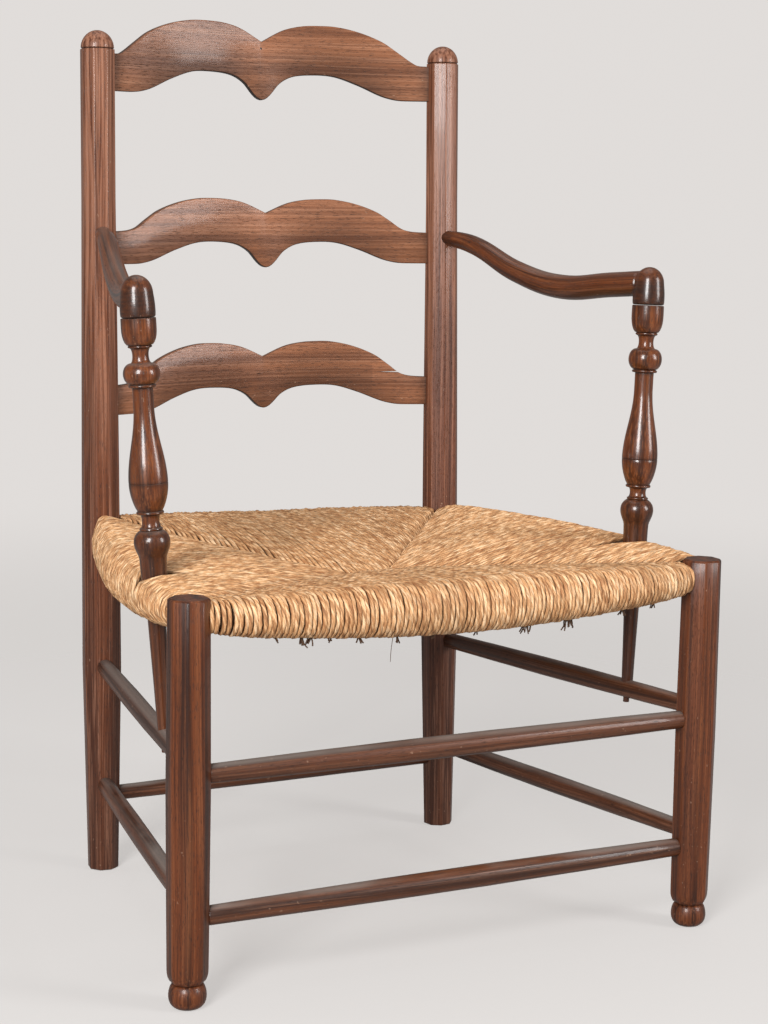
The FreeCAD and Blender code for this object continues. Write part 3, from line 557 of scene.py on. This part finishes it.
def make_stretcher(node, finish):
    first_height, last_height, end_radius, middle_radius = stretcher_ends[node]
    word = node.split("_")[0]
    if word in ("front", "rear"):
        axis, stops = (leg_axis, leg_stops) if word == "front" else (post_axis, post_stops)
        start, end = axis(LEFT, first_height), axis(RIGHT, last_height)
        first_inset = read_stops(stops, first_height)
        last_inset = first_inset
    else:
        side = LEFT if word == "left" else RIGHT
        start, end = leg_axis(side, first_height), post_axis(side, last_height)
        first_inset = read_stops(leg_stops, first_height)
        last_inset = read_stops(post_stops, last_height)
    length = (end - start).length / MM
    first, last = first_inset - 1.5, length - last_inset + 1.5
    profile = [(0.0, first - 4), (7.5, first - 4), (7.5, first), (end_radius - 0.7, first + 0.5)]
    steps = 14
    for step in range(steps + 1):
        share = step / steps
        wobble = chance.uniform(-0.12, 0.12)
        radius = end_radius + (middle_radius - end_radius) * math.sin(math.pi * share) + wobble
        profile.append((radius, blend(first + 1.8, last - 1.8, share)))
    profile += [(end_radius - 0.7, last - 0.5), (7.5, last), (7.5, last + 4), (0.0, last + 4)]
    piece = turned(node + "_wood", profile, 32)
    lay_grain(piece)
    stand(piece, start, end)
    seat_in_frame(piece, node, finish)


def make_rail(name, finish):
    """Seat rail under its cords: only its round ends show beside the uprights."""
    field = fields[name]
    (x1, y1), (x2, y2) = (seat_corners[end] for end in field["ends"])
    start, end = spot(x1, y1, field["rail"]), spot(x2, y2, field["rail"])
    length = (end - start).length / MM
    profile = [(0.0, 14.0), (7.8, 14.0), (8.2, 30.0), (10.0, 60.0), (11.0, length / 2)]
    profile += [(10.0, length - 60), (8.2, length - 30), (7.8, length - 14), (0.0, length - 14)]
    rail = turned(name + "_rail_wood", profile, 24)
    lay_grain(rail)
    stand(rail, start, end)
    seat_in_frame(rail, name + "_seat_rail", finish)


# Slats

def curve_through(points, place):
    """Height of the smooth curve through (place, height) points."""
    last = len(points) - 2
    index = 0
    while index < last and place > points[index + 1][0]:
        index += 1
    (x1, y1), (x2, y2) = points[index], points[index + 1]
    x0, y0 = points[max(index - 1, 0)]
    x3, y3 = points[min(index + 2, len(points) - 1)]
    span = x2 - x1
    slope_1 = (y2 - y0) / (x2 - x0) * span
    slope_2 = (y3 - y1) / (x3 - x1) * span
    t = (place - x1) / span
    return ((2 * t ** 3 - 3 * t ** 2 + 1) * y1 + (t ** 3 - 2 * t ** 2 + t) * slope_1
            + (3 * t ** 2 - 2 * t ** 3) * y2 + (t ** 3 - t ** 2) * slope_2)


def slat_edges(size):
    """Top and bottom edge of a slat's right half, as (place, height) points."""
    level, end, crest, arch, cusp = (size[key] for key in ("level", "end", "crest", "arch", "cusp"))
    top = [(0.0, level + cusp)]
    top += [(27.2, level + blend(cusp, crest, 0.68)), (47.6, level + blend(cusp, crest, 0.93))]
    top += [(68.0, level + crest)]
    for share, rise in ((0.49, 0.985), (0.633, 0.86), (0.777, 0.62), (0.867, 0.36), (0.957, 0.085)):
        top.append((188.0 * share * size["spread"], level + blend(end, crest, rise)))
    top += [(188.0, level + end), (240.0, level + end)]
    low = [(0.0, level + size["tip"])]
    for share, rise in ((0.08, 0.05), (0.175, 0.22), (0.35, 0.63), (0.6, 0.9)):
        low.append((63.0 * share, level + blend(size["tip"], arch, rise)))
    low.append((63.0, level + arch))
    for share, rise in ((0.523, 0.95), (0.686, 0.62), (0.843, 0.19), (0.93, 0.04)):
        low.append((172.0 * share, level + arch * rise))
    low += [(172.0, level), (240.0, level)]
    return top, low


def make_slat(node, finish):
    """A thin strip drawn sideways in steps along its bow, then given its thickness."""
    size = slats[node]
    middle = size["level"] + size["end"] / 2
    post = post_axis(RIGHT, middle)
    inner_half = post.x / MM - read_stops(post_stops, middle)
    radius = (inner_half ** 2 + size["bow"] ** 2) / (2 * size["bow"])
    end_y = (post.y - front_line) / MM + slat_end_offset
    top, low = slat_edges(size)
    stop = inner_half + 6

    def edge(place):
        bow = math.sqrt(radius ** 2 - place ** 2) - radius + size["bow"]
        return (end_y + bow, curve_through(low, abs(place)), curve_through(top, abs(place)))

    half_steps = 60
    places = [stop * step / half_steps for step in range(-half_steps, half_steps + 1)]
    y, bottom, crest = edge(places[0])
    bpy.ops.mesh.primitive_plane_add(size=2 * MM)
    piece = bpy.context.object
    piece.name = node + "_wood"
    edit_all()
    bpy.ops.transform.resize(value=(0, 1, 1), center_override=(0, 0, 0))
    bpy.ops.mesh.remove_doubles(threshold=0.01 * MM)
    bpy.ops.transform.rotate(value=math.pi / 2, orient_axis="X", center_override=(0, 0, 0))
    start = spot(places[0], y, (bottom + crest) / 2)
    bpy.ops.transform.resize(value=(1, 1, (crest - bottom) / 2), center_override=(0, 0, 0))
    bpy.ops.transform.translate(value=start)
    for place in places[1:]:
        next_y, next_bottom, next_crest = edge(place)
        goal = spot(place, next_y, (next_bottom + next_crest) / 2)
        bpy.ops.mesh.extrude_region_move(TRANSFORM_OT_translate={"value": goal - start})
        tall = (next_crest - next_bottom) / (crest - bottom)
        bpy.ops.transform.resize(value=(1, 1, tall), center_override=goal)
        start, bottom, crest = goal, next_bottom, next_crest
    bpy.ops.mesh.select_all(action="SELECT")
    bpy.ops.mesh.normals_make_consistent(inside=False)
    rake = math.atan2(post_top[1] - post_foot[1], post_height)
    bpy.ops.transform.rotate(value=rake, orient_axis="X", center_override=spot(0, end_y, middle))
    bpy.ops.object.mode_set(mode="OBJECT")
    alone(piece)
    thick = piece.modifiers.new("thickness", "SOLIDIFY")
    thick.thickness = slat_thickness * MM
    thick.offset = 0
    bpy.ops.object.modifier_apply(modifier=thick.name)
    soften(piece, 1.1, 3, 50)
    if node == "lower_slat":
        across, back, rise = crack_place
        split(piece, spot(across, end_y + back, size["level"] + rise))

    def bend(point):
        return Vector((0, edge(point.x / MM)[0] * MM, 0))

    # Painted shade where the slat goes into the posts; the slat is also darker towards its ends and in
    # a thin rim along its edges.
    def darkened(point):
        to_post = inner_half - abs(point.x / MM)
        edges = edge(point.x / MM)
        rim = min(point.z / MM - edges[1], edges[2] - point.z / MM)
        return max(0.75 * math.exp(-to_post / 5), 0.35 * math.exp(-to_post / 45), 0.9 - rim / 1.6)

    lay_grain(piece, "X", bend, darkened)
    seat_in_frame(piece, node, finish, 40)


def split(slat, middle):
    """Cuts a fine crack that runs in from a slat's sloping edge."""
    through = (crack_length * MM, 36 * MM, crack_gape * MM)
    bpy.ops.mesh.primitive_cube_add(size=1)
    wedge = bpy.context.object
    edit_all()
    bpy.ops.transform.resize(value=through, center_override=(0, 0, 0))
    bpy.ops.mesh.select_all(action="DESELECT")
    bpy.ops.object.mode_set(mode="OBJECT")
    for vertex in wedge.data.vertices:
        vertex.select = vertex.co.x < 0
    bpy.ops.object.mode_set(mode="EDIT")
    bpy.ops.transform.resize(value=(1, 1, 0.05), center_override=(0, 0, 0))
    bpy.ops.mesh.select_all(action="SELECT")
    bpy.ops.transform.translate(value=middle)
    bpy.ops.object.mode_set(mode="OBJECT")
    alone(slat)
    cut = slat.modifiers.new("crack", "BOOLEAN")
    cut.operation = "DIFFERENCE"
    cut.object = wedge
    bpy.ops.object.modifier_apply(modifier=cut.name)
    bpy.data.objects.remove(wedge)


# Arms and supports

def support_ends(side):
    word = "left" if side == LEFT else "right"
    first_height, last_height = stretcher_ends[word + "_upper_stretcher"][:2]
    front, rear = leg_axis(side, first_height), post_axis(side, last_height)
    share = (support_foot_y * MM) / (rear.y - front.y)
    return front.lerp(rear, share), spot(side * joint_out, joint_y, joint_height[side])


def make_support(side, word, finish):
    """Turned baluster: its levels are counted down from the joint under the arm."""
    foot, joint = support_ends(side)
    length = (joint - foot).length / MM
    levels = [length]
    for part in support_parts[side]:
        levels.append(levels[-1] - part)
    cup, bead, cove, ball, ring, vase, low_ring, low_cove, low_bead, low_ball, stem = levels
    profile = [(0.0, -15.0), (3.2, -15.0), (3.4, -14.0), (3.4, 7.6), (6.3, 7.6), (6.3, 11.0)]
    profile += [(7.4, 60.0), (8.6, 100.0), (9.5, 134.0), (9.7, 155.0), (13.0, 156.0)]
    profile += [(13.3, stem - 8), (13.6, stem - 2), (14.3, stem + 1)]
    for share, rise in ((0.06, 0.14), (0.16, 0.4), (0.3, 0.74), (0.42, 0.93), (0.55, 1.0)):
        profile.append((blend(14.0, lower_ball_radius, rise), blend(stem, low_ball, share)))
    for share, drop in ((0.68, 0.06), (0.79, 0.22), (0.88, 0.46), (0.95, 0.74), (0.99, 0.97)):
        profile.append((blend(lower_ball_radius, 11.4, drop), blend(stem, low_ball, share)))
    profile += rounded(10.6, 11.6, 10.6, low_ball, low_bead, 4)
    profile += rounded(10.6, 8.6, 11.0, low_bead, low_cove, 8)
    profile += rounded(12.4, 13.6, 12.2, low_cove, low_ring, 6)
    vase_length = vase - low_ring
    for step in range(1, 31):
        share = step / 31
        if share < vase_belly_share:
            swell = math.sin(math.pi / 2 * share / vase_belly_share) ** 0.8
            radius = blend(12.2, vase_belly_radius, swell)
        else:
            past = min(1.0, (share - vase_belly_share) / 0.62)
            swell = ((1 + math.cos(math.pi * past)) / 2) ** 1.05
            radius = blend(10.1, vase_belly_radius, swell)
        profile.append((radius, low_ring + vase_length * share))
    groove = low_ring + vase_length * vase_belly_share
    profile.append((10.2, vase))
    profile += rounded(12.2, 13.6, 12.2, vase, ring, 6)
    profile += rounded(10.4, ball_radius, 10.2, ring, ball, 16)[1:]
    profile += rounded(10.4, 7.9, 10.6, ball, cove, 10)[1:]
    profile += rounded(10.8, 11.9, 10.8, cove, bead, 5)
    for share, rise in (
            (0.02, 0.3), (0.1, 0.56), (0.22, 0.78), (0.36, 0.92), (0.5, 0.985), (0.7, 1.0)):
        profile.append((blend(11.0, cup_radius, rise), blend(bead, cup, share)))
    profile += [(17.2, cup - 0.7), (16.6, cup), (0.0, cup)]
    profile = scribed(profile, groove, 0.5)
    piece = turned("arm_support_%s_wood" % word, profile)

    # Painted shade in the turned grooves and at the joins between beads, coves and balls; the support
    # is also darker below its lower ring and in a thin line at the top of the cup, under the knob.
    def hollows(point):
        height = point.z / MM
        dark = 0.0
        for line in (groove, vase, ring, cove, bead, low_ring, low_cove, low_bead, low_ball):
            dark = max(dark, 0.8 - abs(height - line) / 2.2)
        return max(dark, min(0.5, (low_ring - height) / 60), 0.75 - (cup - height) / 2.5)

    lay_grain(piece, shade=hollows)
    stand(piece, foot, joint)
    seat_in_frame(piece, "arm_support_" + word, finish)


def scribed(profile, height, depth):
    """Adds a fine turned groove to a profile."""
    made = []
    for here, after in zip(profile, profile[1:] + profile[-1:]):
        made.append(here)
        if here[1] < height <= after[1] and after[1] - here[1] > 2.5 * depth:
            radius = blend(here[0], after[0], (height - here[1]) / (after[1] - here[1]))
            made += [(radius, height - depth), (radius - depth, height), (radius, height + depth)]
    return made


def make_arm(side, word, finish):
    rear = arm_rear_height[side]
    start_y = (post_axis(side, rear).y - front_line) / MM - read_stops(post_stops, rear) * flat_share
    low = joint_height[side] + arm_over_joint - knob_radius - arm_dip
    places = [
        (side * blend(arm_rear_out, joint_out, out), blend(joint_y, start_y, back),
         blend(rear, low, sag)) for back, out, sag in arm_bends]
    bpy.ops.curve.primitive_bezier_curve_add()
    line = bpy.context.object
    line.name = "arm_%s_wood" % word
    path = line.data.splines[0].bezier_points
    path.add(len(places) - len(path))
    for index, place in enumerate(places):
        share = index / (len(places) - 1)
        path[index].co = spot(*place)
        path[index].handle_left_type = path[index].handle_right_type = "AUTO"
        path[index].radius = blend(arm_end_radius, arm_thick_radius, min(1, share / 0.6) ** 0.8)
    line.data.dimensions = "3D"
    line.data.bevel_depth = MM
    line.data.bevel_resolution = 8
    line.data.resolution_u = 16
    line.data.use_fill_caps = True
    alone(line)
    bpy.ops.object.convert(target="MESH")
    foot, joint = support_ends(side)
    dome = [(0.0, 0.4), (16.4, 0.4), (17.1, 1.2), (knob_radius, 6.0), (17.2, 12.0), (16.7, 18.0)]
    for turn in range(0, 90, 9):
        angle = math.radians(turn)
        dome.append((16.0 * math.cos(angle), knob_height - 18.0 * (1 - math.sin(angle))))
    knob = turned("knob", dome + [(0.0, knob_height)])
    stand(knob, joint, joint + (joint - foot))
    arm = join(line, knob)
    remesh = arm.modifiers.new("one carved piece", "REMESH")
    remesh.mode = "VOXEL"
    remesh.voxel_size = 1.2 * MM
    soft = arm.modifiers.new("worn smooth", "SMOOTH")
    soft.factor = 0.5
    soft.iterations = 7
    for modifier in (remesh.name, soft.name):
        bpy.ops.object.modifier_apply(modifier=modifier)
    up = (joint - foot).normalized()

    # The knob's dark end grain with its rings and the bar's darker tone, and painted shade where the
    # arm runs into the post.
    def end_grain_and_post_shade(point):
        from_joint = point - joint
        height = from_joint.dot(up)
        away = (from_joint - up * height).length
        rings = 0.12 * math.sin(height / MM * 1.6) if height < 26 * MM else 0.0
        near_post = max(0.0, (point.y - spot(0, start_y - 26, 0).y) / (26 * MM))
        inside = max(0.0, min(1.0, (21 * MM - away) / (4 * MM)))
        low_part = max(0.35, min(1.0, (34 * MM - height) / (10 * MM)))
        return max(0.22, inside * low_part * (0.85 + rings), near_post * 0.8)

    across = [(y, x) for x, y, z in reversed(places)]
    above = [(y, z) for x, y, z in reversed(places)]

    def bend(point):
        back = max((point.y - front_line) / MM, joint_y)
        return Vector((curve_through(across, back) * MM, 0, curve_through(above, back) * MM))

    lay_grain(arm, "Y", bend, end_grain_and_post_shade)
    seat_in_frame(arm, "arm_" + word, finish, 60)


# Rush seat

# Each field: its side's ends, the way out, its rail's height, how far the roll stands
# out, its bow, how deep the cords dive at the mitre, which end stands high at the
# rear left corner, and how far the roll draws in there
fields = {
    "front": dict(
        ends=("front_left", "front_right"), out=(0, -1), rail=380.0, nose=20.3, bow=16.0,
        dive=0.0, high_end=None, draw_in=0.0),
    "rear": dict(
        ends=("rear_left", "rear_right"), out=(0, 1), rail=380.0, nose=19.3, bow=2.0,
        dive=6.0, high_end=0, draw_in=0.0),
    "left": dict(
        ends=("front_left", "rear_left"), out=(-1, 0), rail=384.0, nose=22.3, bow=10.0,
        dive=0.6, high_end=1, draw_in=0.8),
    "right": dict(
        ends=("front_right", "rear_right"), out=(1, 0), rail=384.0, nose=22.3, bow=10.0,
        dive=0.6, high_end=None, draw_in=0.0),
}


def across_seat(field, run):
    """For a cord at a run along the seat's side: where its rail is, how far the
    cord reaches in to the mitre, and the share of the way to the seat's centre."""
    (x1, y1), (x2, y2) = (seat_corners[name] for name in field["ends"])
    if field["out"][0]:
        share = (run - y1) / (y2 - y1)
        rail = abs(blend(x1, x2, share))
        if run < seat_centre[1]:
            near = run / seat_centre[1]
            inner = blend(abs(x1), seat_centre[0], near)
        else:
            near = (y2 - run) / (y2 - seat_centre[1])
            inner = blend(abs(x2), seat_centre[0], near)
        depth = rail - inner
    else:
        share = (run - x1) / (x2 - x1)
        near = min(1.0, (x2 - abs(run)) / (x2 - seat_centre[0]))
        depth = abs(y1 - seat_centre[1]) * near
    return share, depth, near


def hugged(field, run, out):
    """Spreads the cords next to an upright over its side, where they pass it."""
    start, stop = (seat_corners[end][1 if field["out"][0] else 0] for end in field["ends"])
    spread = 3.0 * max(0.0, min(1.0, out / 12))
    near_start = max(0.0, 1 - (run - start - first_cord) / 20)
    near_stop = max(0.0, 1 - (stop - last_cord - run) / 20)
    return run + spread * (near_stop - near_start)


def cord_path(field, run, inset, end_shift):
    """Outline of the seat where one cord lies, as (outwards, height) from its rail,
    from the mitre underneath, round the rail, to the mitre on top."""
    share, depth, near = across_seat(field, run)
    swell = math.sin(math.pi * max(0.0, min(1.0, share)))
    near_end = max(0.0, 1 - min(1.0, (0.5 - abs(share - 0.5) - 0.045) / 0.07))
    tuck = max(0.0, 1 - math.sqrt(max(0.0, 1 - near_end ** 2)))
    rise = 0.0
    if field["high_end"] is not None:
        rise = high_corner_rise * max(0.0, 1 - abs(field["high_end"] - share) / 0.5) ** 1.3
    centre = field["bow"] * (1 - (2 * share - 1) ** 2)
    top = field["rail"] + roll_radius + 6.0 * swell - inset - 2.0 * tuck + rise
    low = field["rail"] - roll_radius - roll_sag * swell + inset + 3.0 * tuck
    nose = centre + field["nose"] + 4.0 * swell - inset - 9.5 * tuck - field["draw_in"] * rise
    middle = field["rail"] - 5.1 * swell
    inner_top = blend(corner_top, centre_top, near) - inset + rise * (1 - near)
    inner_low = blend(corner_low, centre_low, near) + inset
    depth = max(depth - 1.0 + end_shift, 2.0)
    path = [(-depth - 1.5, inner_low + 9), (-depth + 1.0, inner_low + 3.0)]
    for step in range(1, 5):
        t = step / 5
        puff = math.sin(math.pi * t) * 2.8 * near
        path.append((blend(-depth + 3.0, centre, t), blend(inner_low, low, t) - puff))
    for step in range(8):
        angle = -math.pi / 2 + math.pi * step / 7
        height = blend(middle, top if angle > 0 else low, abs(math.sin(angle)))
        path.append((centre + (nose - centre) * math.cos(angle), height))
    for step in range(1, 8):
        t = 1 - step / 8
        puff = math.sin(math.pi * t) * 7.0 * near
        path.append((blend(-depth + 3.0, centre, t), blend(inner_top, top, t) + puff))
    dive = field["dive"]
    path += [(-depth + 1.6 + dive * 0.9, inner_top - 1.4), (-depth - 0.6 + dive * 0.5, inner_top - 4.5)]
    path += [(-depth - 2.0 + dive * 0.3, inner_top - 10)]
    return path


def parted(point, side_word):
    """Moves a cord's point along the side so that it passes beside the support."""
    side = LEFT if side_word == "left" else RIGHT
    foot, joint = support_ends(side)
    share = (point.z - foot.z) / (joint.z - foot.z)
    axis = foot.lerp(joint, share)
    stem = (17.0 if point.z > 380 * MM else 13.5) * MM
    reach = 62 * MM
    outside = abs(point.x) - abs(axis.x)
    if outside < 0:
        room = stem * max(0.0, 1 + outside / (70 * MM)) ** 1.5
    else:
        room = max(1.5 * MM, math.sqrt(max(0.0, stem ** 2 - outside ** 2)))
    away = point.y - axis.y
    if abs(away) < reach:
        point.y = axis.y + math.copysign(room + abs(away) * (1 - room / reach), away)
    return point


def on_seat(name, field, run, out, height):
    (x1, y1), (x2, y2) = (seat_corners[end] for end in field["ends"])
    way_x, way_y = field["out"]
    if way_x:
        rail = abs(blend(x1, x2, (run - y1) / (y2 - y1)))
        return parted(spot(way_x * (rail + out), run, height), name)
    return spot(run, y1 + way_y * out, height)


def skin(shape, base, size, runs, around):
    """Adds the faces between rings of points, the first at base, with a cap at each
    end. Their map runs along the rings and, if around is 1, once round them."""
    faces, chart = shape["faces"], shape["chart"]
    for index in range(len(runs) - 1):
        here, there = base + index * size, base + (index + 1) * size
        for corner in range(size):
            after = (corner + 1) % size
            faces.append((here + corner, here + after, there + after, there + corner))
            turn, next_turn = around * corner / size, around * (corner + 1) / size
            chart += [(runs[index], turn), (runs[index], next_turn),
                      (runs[index + 1], next_turn), (runs[index + 1], turn)]
    for ring in (base, base + (len(runs) - 1) * size):
        faces.append(tuple(range(ring, ring + size)))
        chart += [(0.0, 0.0)] * size


def tube(points, radius, sides, shape, tone):
    """Adds a round cord along points to a mesh's lists, with its map and shade.
    The map starts on the side that faces the next cord."""
    base = len(shape["verts"])
    run = chance.uniform(0, 2)
    runs = []
    for index, point in enumerate(points):
        before, after = points[max(index - 1, 0)], points[min(index + 1, len(points) - 1)]
        way = (after - before).normalized()
        side = (shape["next"] - way * shape["next"].dot(way)).normalized()
        up = way.cross(side)
        thick = radius * (1 + chance.uniform(-0.07, 0.07))
        if index:
            run += (point - points[index - 1]).length
        runs.append(run)
        for corner in range(sides):
            angle = 2 * math.pi * corner / sides
            shape["verts"].append(
                point + side * (thick * math.cos(angle)) + up * (thick * math.sin(angle)))
    shape["tones"] += [tone] * (len(points) * sides)
    skin(shape, base, sides, runs, 1)


def stuffing(name, field, first, last, shape):
    """Adds the packing under the cords: closed rings along the side, which the finish paints dark as
    the shade between the cords.
    """
    base = len(shape["verts"])
    stations = 16
    for step in range(stations + 1):
        run = blend(first, last, step / stations)
        path = cord_path(field, run, stuffing_depth, -2.0)
        shape["verts"] += [on_seat(name, field, run, out, height) for out, height in path]
        shape["tones"] += [0.0] * len(path)
    skin(shape, base, len(path), [0.0] * (stations + 1), 0)


# Broken ends under the front edge: place along it, strands and their length. The
# single long one is a loose thread
frays = (
    (-205.0, 3, 2.5), (-181.0, 6, 6.0), (-172.0, 4, 4.5), (-150.0, 3, 2.0), (-120.0, 4, 2.5),
    (-84.0, 1, 19.0), (-78.0, 4, 3.5), (-40.0, 3, 2.0), (8.0, 3, 2.5), (62.0, 5, 4.5),
    (68.0, 3, 3.0), (113.0, 6, 8.0), (117.0, 4, 6.0), (182.0, 5, 5.0), (222.0, 3, 2.5),
)


def fray(field, place, strands, length, shape):
    """Adds a tuft of thin broken strands that hangs from the front roll."""
    share = across_seat(field, place)[0]
    low = field["rail"] - roll_radius - roll_sag * math.sin(math.pi * share) + 3
    out = field["bow"] * (1 - (2 * share - 1) ** 2) + 4
    for strand in range(strands):
        reach = (length + 4) * chance.uniform(0.7, 1.1)
        lean, push = chance.uniform(-0.45, 0.45), chance.uniform(-0.3, 0.6)
        curl = chance.uniform(-0.35, 0.35)
        start = place + chance.uniform(-2.5, 2.5)
        points = []
        for step in range(5):
            t = step / 4
            points.append(on_seat(
                "front", field, start + reach * (lean * t + curl * t * t),
                out + reach * push * t, low - reach * t))
        # Tone 0 gives the broken ends the stuffing's painted-shade colour.
        tube(points, (thread_radius if strands == 1 else strand_radius) * MM, 5, shape, 0.0)


def make_rush(name, finish):
    """One field of the seat: cords side by side, each wound round its rail."""
    field = fields[name]
    (x1, y1), (x2, y2) = (seat_corners[end] for end in field["ends"])
    start, stop = (y1, y2) if field["out"][0] else (x1, x2)
    first, last = start + first_cord, stop - last_cord
    count = round((last - first) / cord)
    to_next = Vector((0, 1, 0)) if field["out"][0] else Vector((1, 0, 0))
    shape = dict(verts=[], faces=[], chart=[], tones=[], next=to_next)
    for index in range(count + 1):
        run = blend(first, last, index / count)
        path = cord_path(field, run, cord / 2, chance.uniform(-1.2, 1.2))
        lean = chance.uniform(-0.5, 0.5)
        phase = chance.uniform(0, 2 * math.pi)
        points = []
        for step, (out, height) in enumerate(path):
            drift = lean + 0.45 * math.sin(step * 0.9 + phase)
            lift = 0.45 * math.sin(step * 1.3 + phase * 2)
            passing = hugged(field, run, out) + drift
            points.append(on_seat(name, field, passing, out + lift * 0.4, height + lift))
        thick = cord / 2 * MM * chance.uniform(0.96, 1.14)
        tube(points, thick, 7, shape, chance.uniform(0.25, 1.0))
    stuffing(name, field, first, last, shape)
    for place, strands, length in frays if name == "front" else ():
        fray(field, place, strands, length, shape)
    mesh = bpy.data.meshes.new("rush_%s_cords" % name)
    mesh.from_pydata(shape["verts"], [], shape["faces"])
    layer = mesh.uv_layers.new(name="cord")
    layer.data.foreach_set("uv", [value for pair in shape["chart"] for value in pair])
    tone = mesh.attributes.new("tone", "FLOAT", "POINT")
    tone.data.foreach_set("value", shape["tones"])
    piece = bpy.data.objects.new(mesh.name, mesh)
    bpy.context.scene.collection.objects.link(piece)
    alone(piece)
    edit_all()
    edit_done()
    seat_in_frame(piece, "rush_" + name, finish, 60)


# The peg in the left post's top

def make_peg(finish):
    low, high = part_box("top_slat_peg")
    middle = (low + high) / 2
    length = 20.7
    profile = [(0.0, 0.0), (2.1, 0.0), (2.1, length - 0.7), (1.9, length - 0.1), (0.0, length)]
    peg = turned("top_slat_peg_wood", profile, 16)
    lay_grain(peg)
    face = Vector((middle.x, low.y + 0.4 * MM, middle.z))
    stand(peg, face + Vector((0, length * MM, 0)), face)
    seat_in_frame(peg, "top_slat_peg", finish)


# Studio

def make_studio():
    bpy.ops.mesh.primitive_circle_add(vertices=96, radius=7.0, fill_type="NGON")
    floor = bpy.context.object
    floor.name = "studio_floor"
    paint = Paint(bpy.data.materials.new("pale floor"))
    place = paint.node("TexCoord", {}, {}, "Object")
    distance = paint.node("VectorMath", {"operation": "LENGTH"}, {0: place}, "Value")
    paint.finish({"Base Color": (0.68, 0.665, 0.65), "Roughness": 0.85, "Specular IOR Level": 0.1})
    solid = Wire(paint, paint.tree.nodes["Principled BSDF"].outputs[0])
    clear = paint.node("BsdfTransparent", {}, {})
    fading = distance.between(1.1, 3.0) * 0.34 + 0.66
    paint.show(paint.node("MixShader", {}, {0: fading, 1: solid, 2: clear}), "Material Output")
    floor.data.materials.append(paint.owner)

    sky = Paint(bpy.data.worlds.new("studio"))
    bpy.context.scene.world = sky.owner
    seen = sky.node("Background", {}, {"Color": (0.75, 0.72, 0.7), "Strength": 1.0})
    light = sky.node("Background", {}, {"Color": (1.0, 0.97, 0.94), "Strength": 0.24})
    to_camera = sky.node("LightPath", {}, {}, "Is Camera Ray")
    sky.show(sky.node("MixShader", {}, {0: to_camera, 1: light, 2: seen}), "World Output")

    for name, place, width, height, watts in (
        ("left softbox", (-2.6, -2.6, 2.0), 1.2, 2.0, 205),
        ("right softbox", (2.4, -2.6, 1.6), 1.0, 1.8, 80),
        ("top softbox", (0.1, 0.3, 3.2), 2.4, 2.4, 16),
    ):
        lamp = bpy.data.lights.new(name, "AREA")
        lamp.shape = "RECTANGLE"
        lamp.size, lamp.size_y, lamp.energy = width, height, watts
        holder = bpy.data.objects.new(name, lamp)
        bpy.context.scene.collection.objects.link(holder)
        holder.location = place
        aim = Vector((0, 0, 0.5)) - holder.location
        holder.rotation_euler = aim.to_track_quat("-Z", "Y").to_euler()


def make_camera():
    data = bpy.data.cameras.new("photo view")
    camera = bpy.data.objects.new("photo view", data)
    bpy.context.scene.collection.objects.link(camera)
    forward = Vector((
        math.sin(camera_yaw) * math.cos(camera_pitch),
        math.cos(camera_yaw) * math.cos(camera_pitch), math.sin(camera_pitch)))
    side = Vector((math.cos(camera_yaw), -math.sin(camera_yaw), 0))
    up = side.cross(forward)
    across = side * math.cos(camera_roll) + up * math.sin(camera_roll)
    upward = up * math.cos(camera_roll) - side * math.sin(camera_roll)
    turn = Matrix((across, upward, -forward)).transposed().to_4x4()
    camera.matrix_world = Matrix.Translation(spot(*camera_place)) @ turn
    data.sensor_width = 36.0
    data.lens = camera_focal * data.sensor_width / picture_height
    bpy.context.scene.camera = camera


def pin_hole():
    """Place of the small hole under the top slat's cusp, on its front face, where the slat wood paints
    a dark spot as the shade inside it.
    """
    size = slats["top_slat"]
    height = size["level"] + size["cusp"] - 8.5
    bow_back = slat_end_offset + size["bow"] - slat_thickness / 2
    post = post_axis(RIGHT, height)
    return (-1.5 * MM, post.y + bow_back * MM, post.z)


def main():
    make_camera()
    post_wood = wood(
        "post wood", (0.045, 0.012, 0.005), (0.128, 0.037, 0.014), (0.36, 0.165, 0.1), 0.35, 0.2,
        figure=0.75, top_sheen=0.55)
    leg_wood = wood(
        "leg wood", (0.024, 0.006, 0.002), (0.115, 0.028, 0.007), (0.22, 0.072, 0.026), 0.36, 0.2)
    slat_wood = wood(
        "slat wood", (0.095, 0.031, 0.013), (0.29, 0.112, 0.05), (0.46, 0.22, 0.125), 0.37, 0.2,
        figure=0.6, hole=pin_hole())
    arm_wood = wood(
        "arm wood", (0.03, 0.008, 0.003), (0.14, 0.036, 0.009), (0.26, 0.085, 0.028), 0.26, 0.5,
        figure=0.85, dust=0.3)
    stretcher_wood = wood(
        "stretcher wood", (0.028, 0.009, 0.004), (0.105, 0.033, 0.013), (0.2, 0.085, 0.045), 0.36, 0.25,
        dust=0.7)
    peg_wood = wood(
        "peg wood", (0.01, 0.006, 0.004), (0.03, 0.014, 0.009), (0.05, 0.025, 0.015), 0.5, 0.0)
    rush = rush_finish()
    for side, word in SIDES:
        make_leg(side, word, leg_wood)
        make_post(side, word, post_wood)
        make_support(side, word, arm_wood)
        make_arm(side, word, arm_wood)
    for node in stretcher_ends:
        make_stretcher(node, stretcher_wood)
    for node in slats:
        make_slat(node, slat_wood)
    for name in fields:
        make_rail(name, stretcher_wood)
        make_rush(name, rush)
    make_peg(peg_wood)
    make_studio()
    bpy.context.scene.view_settings.view_transform = "Standard"


main()
